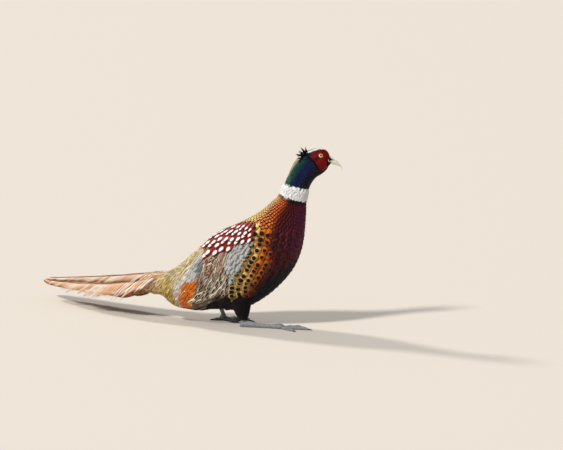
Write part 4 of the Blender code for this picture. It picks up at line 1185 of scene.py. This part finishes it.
def thighFeathers(coat, rings, hand):
    # short dark feathers that hang down the thigh, on the rings' own surface
    rows = len(rings)
    middle = rings.mean(1)
    order = np.arange(thigh["count"])
    share = np.linspace(0.02, 0.93, len(order))
    turn = np.radians((order * evenTurn) % 360)
    steps = small[0]
    at = np.clip(share[:, None] + thigh["length"] * steps, 0, 1) * (rows - 1)
    low = np.clip(at.astype(int), 0, rows - 2)
    mix = (at - low)[..., None]
    centre = middle[low] * (1 - mix) + middle[low + 1] * mix
    radius = np.linalg.norm(rings[:, 0] - middle, axis=1)
    radius = radius[low] * (1 - mix[..., 0]) + radius[low + 1] * mix[..., 0]
    radial = np.broadcast_to(stacked(np.cos(turn), np.sin(turn), 0.0)[:, None], centre.shape)
    points = centre + radial * (radius - 1.0 + 2.0 * steps)[..., None]
    across = np.broadcast_to(np.cross(radial[:, :1], (0, 0, 1.0)), centre.shape)
    ground = blend(paints["belly"], paints["vent"], 0.5 * draw.uniform(0, 1, len(order)))
    coat.add(points, across, radial, thigh["width"] / 2 * small[1][None], {"ground": ground, "share": steps},
             thighPatch(hand, share), 0.3, 0.15)


buildBodyCoat()


# feathers of the rump

rump = {"gap": 3.0, "width": 3.2}
rumpLength = curve((0, 40, 90, 140, 180), (17, 25, 33, 29, 18))
steepness = curve((0.2, 1, 2.2, 3.8, 4.6), (66, 62, 46, 32, 26))
steepShare = curve((0, 15, 45, 125, 155, 178), (0.08, 0.35, 1, 1, 0.55, 0.1))


def buildRumpCoat():
    # loose hair-like feathers, longest low on the sides, and hackles that sweep down over the root of the tail.
    # They lie back along the middle of the back, and fall steeply round the sides towards the tail.
    coat = Coat()
    root = scatter(0.15, 5.2, lambda along, angle: rump["gap"], 1.3, 0.4)
    root = root[root[:, 0] < wingRear(folded(root[:, 1])) + 0.85]
    t = folded(root[:, 1])
    count = len(root)
    length = rumpLength(t) * draw.uniform(0.8, 1.15, count)
    heading = steepness(root[:, 0]) * steepShare(t) + draw.normal(0, 4, count)
    path = walk(root, length, heading, hair[0], 9.0)
    ground, _ = markings(path[:, 2, 0], path[:, 2, 1])
    strand = draw.uniform(0, 1, count)
    ground = blend(ground, ground * 0.6, strand > 0.9)
    ground = blend(ground, ground * 0.45 + 0.55 * paints["cream"], (strand < 0.2) * 0.5)
    tailward = 1 - rise(path[:, 2, 0], 2.2, 0.5)
    ground = blend(ground, paints["oliveDark"], tailward * 0.7 * ((strand > 0.55) & (strand < 0.72)))
    look = {"ground": ground, "mark": paints["oliveDark"], "edge": (0, 0.3, 0), "vary": 0.3}
    width = rump["width"] * draw.uniform(0.7, 1.2, count)
    lay(coat, path, width, (-1.5, draw.uniform(0.5, 2.2, count)), look, hair, thick=0.3, camber=0.2)
    buildHackles(coat)
    coat.build("rumpFeathers", plumage("rumpHair", barbs=5, relief=0.0002, streak=0.2, Roughness=0.62,
                                       Specular_IOR_Level=0.2))


hackle = {"count": 700, "length": (26, 46), "width": 2.6}
hackleLength = curve((0, 40, 110, 150), (0.55, 1.0, 0.9, 0.6))
hackleHeading = curve((0, 30, 80, 150), (2, 28, 46, 20))


def buildHackles(coat):
    # long strands from the end of the rump, swept back and down over the tail
    count = hackle["count"]
    t = draw.uniform(4, 150, count)
    along = draw.uniform(-0.9, 1.5, count)
    side = np.where(np.arange(count) % 2 == 0, 1, -1)
    length = draw.uniform(*hackle["length"], count) * hackleLength(t)
    heading = hackleHeading(t) + draw.normal(0, 5, count)
    path = walk(np.column_stack([along, t * side]), length, heading, hair[0])
    tone = draw.uniform(0, 1, count)
    ground = layered(
        paints["peach"],
        ("cream", tone),
        ("olive", rise(t + 50 * tone, 100, 40) * rise(along, -0.4, 0.8)),
        ("oliveDark", 0.75 * (tone > 0.84)),
        ("rust", 0.45 * ((tone > 0.4) & (tone < 0.47))),
    )
    look = {"ground": ground, "mark": paints["oliveDark"], "edge": (0, 0.3, 0), "vary": 0.25}
    width = hackle["width"] * draw.uniform(0.6, 1.25, count)
    lay(coat, path, width, (-0.8, draw.uniform(0.8, 2.6, count)), look, hair, thick=0.3, camber=0.2)


buildRumpCoat()


# the wings

wing = {
    "flight": {"count": 19, "narrow": 15, "wide": 19, "lift": (0.8, 2.6)},
    "streaked": {"gap": 6.2, "length": 44, "width": 7.4, "lift": (2.1, 3.3), "tilt": 0.03, "camber": 0.02},
    "grey": {"gap": 6.4, "length": 34, "width": 11, "lift": (2.7, 3.4), "tilt": 0.0, "camber": 0.0},
    "drops": {"gap": 23.0, "length": 31, "width": 17, "lift": (2.8, 5.2), "tilt": 0.05, "camber": 0.08},
}
streakMargin = curve((3, 4.4, 4.9), (14, 9, 1))
streakWidth = curve((3.0, 4.2, 5.2), (0.42, 0.55, 0.42))
streakHeading = curve((45, 80, 105, 130), (40, 42, 36, 22))
dropSize = curve((4.3, 5.6, 7.6), (1.0, 0.94, 0.66))


def buildWing(side, hand):
    # folded wing from below upwards: flight feathers, streaked coverts, grey coverts and scapulars with white
    # drops
    coat = Coat()
    mirror = np.array([1.0, side])

    def add(row, place, heading, look, size=1.0, at=0.74):
        # feathers of one kind, each over its place at the share of its length given by at
        heading = heading + draw.normal(0, 2.0, len(place))
        length = row["length"] * size
        path = walk(through(place * mirror, length, heading, at), length, heading, contour[0])
        lay(coat, path, row["width"] * size, row["lift"], look, contour, row["tilt"], camber=row["camber"])

    row = wing["flight"]
    u = np.linspace(0, 1, row["count"])
    root = np.column_stack([5.5 + 1.1 * u, 92 - 44 * u])
    tip = np.column_stack([2.95 + 1.35 * u**1.4, 143 - 84 * u])
    look = {
        "ground": blend(paints["flight"], paints["flightTan"], u),
        "mark": paints["flightBar"],
        "edge": (0.75, 0.8, 0.5),
    }
    width = row["narrow"] + (row["wide"] - row["narrow"]) * u
    lay(coat, glide(root * mirror, tip * mirror, quill[0]), width, row["lift"], look, quill, 0.2, 0.4)

    # streaked coverts: each has a dark streak along its shaft, red-brown near the back and black low down
    row = wing["streaked"]
    place = scatter(2.7, 6.3, lambda along, angle: row["gap"], 2.0, 0.42)
    along, t = place[:, 0], place[:, 1]
    place = place[(t > 36) & (t < wingLow(along) - streakMargin(along)) & (along > wingRear(t) + 0.12)
                  & (along < greyRear(t) + 0.25)]
    along, t = place[:, 0], place[:, 1]
    count = len(place)
    streak = streakWidth(along) * draw.uniform(0.5, 1.3, count)
    look = {
        "ground": blend(paints["streakPale"], paints["streakGrey"], draw.uniform(0, 1, count)),
        "mark": blend(paints["streakRed"], paints["streakDark"], rise(t, 88, 26)),
        "spot": stacked(0.85, streak, draw.uniform(0.12, 0.2, count)),
    }
    add(row, place, streakHeading(t), look)

    # plain grey coverts
    row = wing["grey"]
    place = scatter(4.9, 7.8, lambda along, angle: row["gap"], 1.5, 0.3)
    along, t = place[:, 0], place[:, 1]
    place = place[(t > 58) & (along < 7.0) & (t < wingLow(along) + 3) & (along > greyRear(t))]
    look = {
        "ground": blend(paints["grey"], paints["greyWarm"], draw.uniform(0, 0.6, len(place))),
        "mark": paints["greyRim"],
        "edge": (0.3, 0.0, 0.0),
        "vary": 0.05,
    }
    add(row, place, 30, look)

    # scapulars, row on row, each with a white drop in red-brown
    row = wing["drops"]
    place = scatter(4.42, 7.7, lambda along, angle: row["gap"] * dropSize(along), 0.355, 0.03)
    along, t = place[:, 0], place[:, 1]
    place = place[(t > wingTop(along)) & (t < scapularLow(along)) & (along > wingRear(t) + 0.05)]
    place = place[np.argsort(place[:, 0])]
    count = len(place)
    look = {
        "ground": blend(paints["red"], paints["redDeep"], draw.uniform(0, 1, count)),
        "mark": paints["white"],
        "spot": stacked(0.77, draw.uniform(0.4, 0.5, count), draw.uniform(0.16, 0.2, count)),
    }
    add(row, place, 24, look, dropSize(place[:, 0]), 0.77)
    coat.build("wingFeathers" + hand.capitalize(),
               plumage("wingVanes" + hand.capitalize(), barbs=30, Roughness=0.58, Specular_IOR_Level=0.22),
               ("wing_" + hand,))


for side, hand in hands:
    buildWing(side, hand)


# the tail

tail = {
    "length": 380, "drop": 53, "ridge": 88, "baseX": -163,
    # each pair of feathers by its share of the length, and how they lie
    "shares": (1.0, 0.93, 0.85, 0.76, 0.67, 0.58, 0.5, 0.43, 0.37),
    "width": 34, "layer": 1.5, "lean": 54, "leanStep": 2.8, "barbWidth": 1.44,
}
tailTaper = curve((0, 0.1, 0.3, 0.55, 0.8, 0.93, 1), (0.16, 0.45, 0.85, 1.0, 0.84, 0.5, 0.05))
tailRootTaper = curve((8, 36, 100), (0.16, 0.42, 1.0))


def tailRidge(behind):
    # height of the ridge: it falls with distance, a little less and less steeply
    share = behind / tail["length"]
    return tail["ridge"] - tail["drop"] * share * (1.15 - 0.15 * share)


def tailLines(side, index, behind):
    # one feather's inner edge, outer edge and shaft as reaches from the ridge, and the frame that they lie in
    length = tail["length"] * tail["shares"][index]
    share = np.clip((behind - 8) / (length - 8), 0, 1)
    lean = math.radians(tail["lean"] - tail["leanStep"] * index)
    spread = np.minimum(tailTaper(share), tailRootTaper(behind))
    width = tail["width"]
    first = 1.2 + 0.7 * index
    shaft = np.interp(share, (0, 0.55, 1), (first + 0.42 * width, first + 0.4 * width, first + 3))
    shaft = np.minimum(shaft, np.interp(behind, (8, 100), (7, 30)))
    inner = np.maximum(shaft - 0.42 * width * spread, first)
    outer = shaft + 0.58 * width * spread
    raised = 0.0
    if index == 0:
        inner = inner - 3.5 * smooth(share * 4)
        raised = 1.3 if side < 0 else 0.0

    def at(reach):
        y = -side * (0.8 + math.sin(lean) * reach)
        z = tailRidge(behind) + raised - tail["layer"] * index - math.cos(lean) * reach
        return np.stack([tail["baseX"] - behind, y, z], -1)

    across = np.array([0, -side * math.sin(lean), -math.cos(lean)])
    out = np.array([0, -side * math.cos(lean), math.sin(lean)])
    return at, inner, outer, across, out


def drape(side, behind, reach, lift):
    # a sheet that starts nearly level at the ridge and hangs more steeply the further down it goes
    steps = np.arange(0.0, 90.0)
    lean = np.radians(np.interp(steps, (0, 12, 40, 75), (62, 56, 34, 12)))
    here = np.interp(reach, steps, lean)
    aside = np.interp(reach, steps, runningSum(np.sin(lean)[:-1]))
    fall = np.interp(reach, steps, runningSum(np.cos(lean)[:-1]))
    raised = 1.5 if side < 0 else 0.2
    out = np.stack([0 * here, -side * np.cos(here), np.sin(here)], -1)
    point = np.stack([tail["baseX"] - behind, -side * (0.6 + aside), tailRidge(behind) + raised - fall], -1)
    return point + out * lift[..., None], out


# tiers of barbs from the lowest up: where on the sheet they start, how far they run, how steeply, and the gap
# between them; then how wide their locks are, where along the tail they begin and end, and how high they lie
tierParts = ("at", "far", "slant", "gap", "lock", "phase", "from", "until", "lift")
tailTiers = [dict(zip(tierParts, values)) for values in (
    (38, 30, 40, 0.7, 8.0, 0.3, 14, 0.55, 0.3),
    (21, 45, 54, 0.5, 8.4, 0.0, 6, 0.88, 1.0),
    (0.6, 27, 62, 0.6, 7.0, 0.6, 6, 0.96, 1.8),
)]
lockVariety = np.random.default_rng(7).uniform(-1, 1, 200)
barbReach = curve((0, 0.12, 0.35, 0.6, 0.85, 1), (0.6, 1.0, 0.95, 0.72, 0.52, 0.3))
barbSlant = curve((0, 0.6, 1), (1.12, 0.85, 0.5))
sheetTaper = curve((0, 0.1, 0.3, 0.6, 0.85, 1), (0.55, 0.85, 1, 0.85, 0.5, 0.2))


def tailBarbs(coat, side, tier):
    # barbs gathered into locks: each lock's barbs draw together towards its tip, with its middle raised.
    # Pale locks are set off by the rusty barbs between them.
    length = tail["length"] * tier["until"]
    start = np.arange(tier["from"], length, tier["gap"])
    count = len(start)
    start = start + 0.3 * tier["gap"] * draw.uniform(-1, 1, count)
    lock = np.floor(start / tier["lock"] + tier["phase"])
    off = start - (lock + 0.5 - tier["phase"]) * tier["lock"]
    own = lockVariety[lock.astype(int)]
    end = start / length
    far = tier["far"] * barbReach(end) * (1 + 0.14 * own) * draw.uniform(0.82, 1.1, count)
    turn = np.radians(tier["slant"] * barbSlant(end) + 3 * own)
    steps = hair[0][None]
    run = start[:, None] + (far * np.cos(turn))[:, None] * steps - off[:, None] * 0.58 * steps**1.4
    base = tier["at"] * sheetTaper(start / tail["length"])
    reach = base[:, None] + (far * np.sin(turn))[:, None] * steps * (1.1 - 0.1 * steps)
    swell = 1.7 * (1 - (off / tier["lock"] * 2) ** 2)[:, None] * np.sin(steps * 2.4)
    lift = tier["lift"] + 0.4 * draw.uniform(0, 1, (count, 1)) + swell
    middle, out = drape(side, run, reach, lift)
    way = unit(np.gradient(middle, axis=1))
    phase = off / tier["lock"] + 0.5
    offMiddle = np.abs(phase - 0.5)
    ground = layered(
        paints["barb"],
        ("barbPink", rise(phase, 0.4, 0.35)),
        ("barbPale", 0.85 * rise(own, 0.0, 0.5)),
        ("barbRust", 0.92 * rise(offMiddle, 0.37, 0.1)),
        ("barbBrown", 0.6 * (draw.uniform(0, 1, count) > 0.93)),
    )
    look = {
        "ground": ground,
        "mark": paints["barbMark"],
        "share": hair[0],
        "spot": stacked(0.0, 2.0, 0.16 * (offMiddle > 0.2) + 0.001),
    }
    place = stacked(0.5 + side * (0.02 + 0.003 * tier["at"]), 0.004 + 0.012 * end)
    half = tail["barbWidth"] / 2 * hair[1][None] * draw.uniform(0.8, 1.2, (count, 1))
    coat.add(middle, unit(np.cross(way, out)), out, half, look, place, 0.34, 0.1)


def buildTail():
    # each feather is a thin vane under a coat of barbs that run out over it and past its edge as a fringe
    vanes = Coat()
    for side, hand in hands:
        barbs = Coat()
        for index, share in enumerate(tail["shares"]):
            length = tail["length"] * share
            behind = np.concatenate([[4.0], np.linspace(10, length - 3, 30), [length]])
            at, inner, outer, across, out = tailLines(side, index, behind)
            centre = at((inner + outer) / 2)[None]
            across, out = (np.broadcast_to(way, centre.shape) for way in (across, out))
            look = {"ground": paints["web"], "mark": paints["webBar"], "share": behind / length,
                    "edge": (0, 0.7, 0.6)}
            place = np.array([[0.5 + side * (0.02 + 0.03 * index), 0.004]])
            vanes.add(centre, across, out, ((outer - inner) / 2)[None] * 0.86, look, place, 0.8, 0.05)
        for tier in tailTiers:
            tailBarbs(barbs, side, tier)
        barbs.build("tailFringe" + hand.capitalize(),
                    plumage("tailBarbs" + hand.capitalize(), barbs=3, relief=0.0002, streak=0.1, Roughness=0.62,
                            Specular_IOR_Level=0.2))
    buildTailRoot()
    vanes.build("tailVanes", plumage("tailWebs", barbs=90, Roughness=0.62, Specular_IOR_Level=0.2),
                ("tail",))


# place behind the base, height and half width
tailRootRings = ((0.6, 20, 17), (22, 18, 14.5), (45, 14.5, 11), (68, 10, 7.5), (92, 5.5, 4), (110, 2, 1.5))


def buildTailRoot():
    # the short fleshy root under the feathers, in ovals that hang from the ridge
    turn = np.linspace(0, 2 * math.pi, 40, endpoint=False)
    rings = []
    for behind, high, wide in tailRootRings:
        z = tailRidge(behind) - 2.5 + high * (np.cos(turn) - 1)
        rings.append(stacked(tail["baseX"] - behind, -wide * np.sin(turn), z))
    points, faces = tube(pose(np.array(rings)))
    f = Finish("tailRootDown", Roughness=0.75, Specular_IOR_Level=0.2)
    fuzz = f.noise(400, 4)
    f.show(Base_Color=f.mix(fuzz, paint(120, 96, 56), paint(214, 180, 120)), Normal=f.bump(fuzz, 0.0008, 0.5))
    addPiece("tailRoot", points, faces, f.material)


buildTail()


# legs, feet and claws

def legFinish():
    # small grey scales with dark seams
    f = Finish("legScales", Roughness=0.5, Specular_IOR_Level=0.4)
    cells = f.node("TexVoronoi", {"feature": "DISTANCE_TO_EDGE"}, {"Vector": f.place(), "Scale": 620.0},
                   "Distance")
    dust = f.noise(180, 4)
    colour = f.mix(dust, paint(96, 100, 108), paint(168, 168, 170))
    colour = f.mix((1.0 - cells * 9.0).held() * 0.55, colour, paint(44, 44, 48))
    return f.show(Base_Color=colour, Normal=f.bump(cells * 2.0, 0.0005, 0.6))


def clawFinish():
    # dark horn with pale streaks
    f = Finish("clawHorn", Roughness=0.35, Specular_IOR_Level=0.5)
    streaks = f.noise(500, 3)
    return f.show(Base_Color=f.mix(streaks, paint(40, 34, 30), paint(104, 92, 80)),
                  Normal=f.bump(streaks, 0.0002, 0.4))


def flatSoled(path, halfWidths, heights, sides=30, rows=70, plates=0.0):
    # a pad, toe or shank on the floor: its ring is an oval cut flat at floor level, with overlapping plates on
    # top
    path = np.asarray(path, float)
    distance = runningSum(stepsOf(path))
    at = np.linspace(0, distance[-1], rows)
    line = spline(distance, path, at)
    heading = unit(np.gradient(line, axis=0))
    across = np.stack([-heading[:, 1], heading[:, 0]], 1)
    half, height = (spline(distance, np.asarray(sizes, float)[:, None], at) for sizes in (halfWidths, heights))
    turn = (np.linspace(0, 2 * math.pi, sides, endpoint=False) + 0.05)[None]
    step = 0.0
    if plates:
        phase = (at / plates) % 1
        step = (0.34 * (1 - phase) * smooth(phase * 8))[:, None] * smooth(np.cos(turn) * 2.2 + 0.3)
    xy = line[:, None] + across[:, None] * (np.sin(turn) * (half + step))[..., None]
    z = height / 2 * (1 + np.cos(turn) * 1.06) + step * np.maximum(np.cos(turn), 0)
    return np.concatenate([xy, np.maximum(z, 0.0)[..., None]], -1)


def footMeshes(hand, side):
    # a foot's pad and toes, and for each toe its nail's path
    x, y = legs[hand + "Foot"]
    start, hindTurn, back = {"right": (7, 116, 0), "left": (2, 160, -6)}[hand]
    hub = np.array([x + start, y])
    pad = [(x + back, y), (x + start, y), (x + start + 6, y)]
    meshes = [tube(flatSoled(pad, [4.5, 6.0, 4.2], [8.8, 9.2, 6.8], plates=3.0))]
    if hand == "left":
        meshes.append(tube(levelRings([(x, y, 3), (x, y, 12)], [4.6, 4.4])))
    steps = np.array([0.02, 0.3, 0.42, 0.62, 0.74, 0.93, 1.0])
    swell = np.array([1.0, 0.86, 1.0, 0.8, 0.92, 0.7, 0.46])
    nails = {}
    for name, (heading, length, radius) in legs["toes"].items():
        turn = math.radians(side * (hindTurn if name == "hind" else heading))
        way = np.array([math.cos(turn), math.sin(turn)])
        meshes.append(tube(flatSoled(hub + steps[:, None] * way * length, radius * swell, 1.8 * radius * swell,
                                     plates=legs["plates"])))
        nailLength = legs["middleNail" if name == "middle" else "nail"]
        nailSteps = np.array([0, 0.3, 0.6, 0.85, 1.0])[:, None]
        nails[name] = hub + way * (length - 1.5) + nailSteps * way * nailLength
    return meshes, nails


def buildLegs():
    # the right shank lies along the floor and the left one stands; both feet are flat on it
    scales = legFinish()
    claws = clawFinish()
    heel = legs["heel"]
    x, y = heel[:2]
    foot = legs["rightFoot"][0]
    line = [(x - 6.6, y), (x - 3, y), (x + 6, y), (x + 30, y), (foot - 12, y), (foot - 0.4, y)]
    shank = flatSoled(line, [2.4, 5.2, 5.2, 3.8, 3.8, 4.6], [7, 10.5, 11.4, 8.0, 7.6, 8.6], rows=150,
                      plates=3.4)
    ankle = levelRings([heel + (0, 0, 5), heel + (0, 0, 9), heel + (0, 0, 14.2)], [4.8, 5.6, 5.9])
    points, faces = joined([tube(shank), tube(ankle)])
    addPiece("shankRight", points, faces, scales, ("tarsus_right",))
    left = np.array([*legs["leftFoot"], 0])
    shank = levelRings([left + (0, 0, 11), left + (-2, 0, 16), left + (-6, 0, 25.5)], [4.2, 4.0, 4.8])
    points, faces = tube(shank)
    addPiece("shankLeft", points, faces, scales, ("tarsus_left",))
    for side, hand in hands:
        meshes, nails = footMeshes(hand, side)
        for name, path in nails.items():
            nail = flatSoled(path, [1.45, 1.4, 1.0, 0.55, 0.16], [2.9, 3.0, 2.2, 1.2, 0.3], 20, 24)
            points, faces = tube(nail)
            addPiece("nail" + name.capitalize() + hand.capitalize(), points, faces, claws,
                     (f"claw_{name}_{hand}",))
        points, faces = joined(meshes)
        addPiece("toes" + hand.capitalize(), points, faces, scales, ("foot_" + hand,))


buildLegs()


# floor, lights and camera

photo = {"wide": 563, "high": 450, "mmPerPixel": 1.85, "hipsAt": (243, 324), "azimuth": 20, "elevation": 7,
         "distance": 8.0, "sensor": 36.0}
stage = {
    "floorSize": 60.0,
    "floor": paint(214, 206, 196),
    "sky": (0.9, 0.94, 1.0, 1.0),
    "skyStrength": 0.28,
    # name, strength, softness in degrees, way to the light, colour
    "lamps": (
        ("keyLight", 3.0, 9, (-0.42, -0.88, 0.9), (1.0, 0.97, 0.92)),
        ("rimLight", 2.2, 7, (-1.05, 0.62, 0.72), (1.0, 0.96, 0.9)),
    ),
}


def buildStage():
    # a pale floor, a soft sky, a broad key light and a rim light from behind
    size = stage["floorSize"]
    mesh = bpy.data.meshes.new("floor")
    corners = [(-size, -size, 0), (size, -size, 0), (size, size, 0), (-size, size, 0)]
    mesh.from_pydata(corners, [], [(0, 1, 2, 3)])
    mesh.materials.append(Finish("paleFloor", Base_Color=stage["floor"], Roughness=0.9).material)
    linked("floor", mesh)
    world = bpy.data.worlds.new("sky")
    world.use_nodes = True
    background = world.node_tree.nodes["Background"]
    background.inputs[0].default_value = stage["sky"]
    background.inputs[1].default_value = stage["skyStrength"]
    bpy.context.scene.world = world
    for name, strength, softness, way, colour in stage["lamps"]:
        light = bpy.data.lights.new(name, "SUN")
        light.energy = strength
        light.angle = math.radians(softness)
        light.color = colour
        lamp = linked(name, light)
        lamp.location = np.array(way) * 3
        lamp.rotation_euler = lookAlong(-np.array(way))
    print("stage ready")


def lookAlong(way):
    # tilt from straight down, then turn about the upright axis
    way = unit(np.asarray(way, float))
    return (math.acos(-way[2]), 0.0, math.atan2(way[1], way[0]) - math.pi / 2)


def buildCamera():
    # the long lens looks along the photograph's direction, and stands aside until the hips fall on their pixel
    a, e = math.radians(photo["azimuth"]), math.radians(photo["elevation"])
    right = np.array([math.cos(a), math.sin(a), 0])
    up = np.array([-math.sin(a) * math.sin(e), math.cos(a) * math.sin(e), math.cos(e)])
    back = np.array([math.sin(a) * math.cos(e), -math.cos(a) * math.cos(e), math.sin(e)])
    scale = photo["mmPerPixel"] / 1000
    offX = (photo["wide"] / 2 - photo["hipsAt"][0]) * scale
    offY = (photo["hipsAt"][1] - photo["high"] / 2) * scale
    middle = hips / 1000 + right * offX + up * offY
    data = bpy.data.cameras.new("longLens")
    data.sensor_width = photo["sensor"]
    data.lens = photo["sensor"] * photo["distance"] / (photo["wide"] * scale)
    data.clip_end = 200
    camera = linked("longLens", data)
    camera.location = middle + back * photo["distance"]
    camera.rotation_euler = lookAlong(-back)
    bpy.context.scene.camera = camera


buildStage()
buildCamera()
bpy.context.scene.view_settings.view_transform = "Standard"
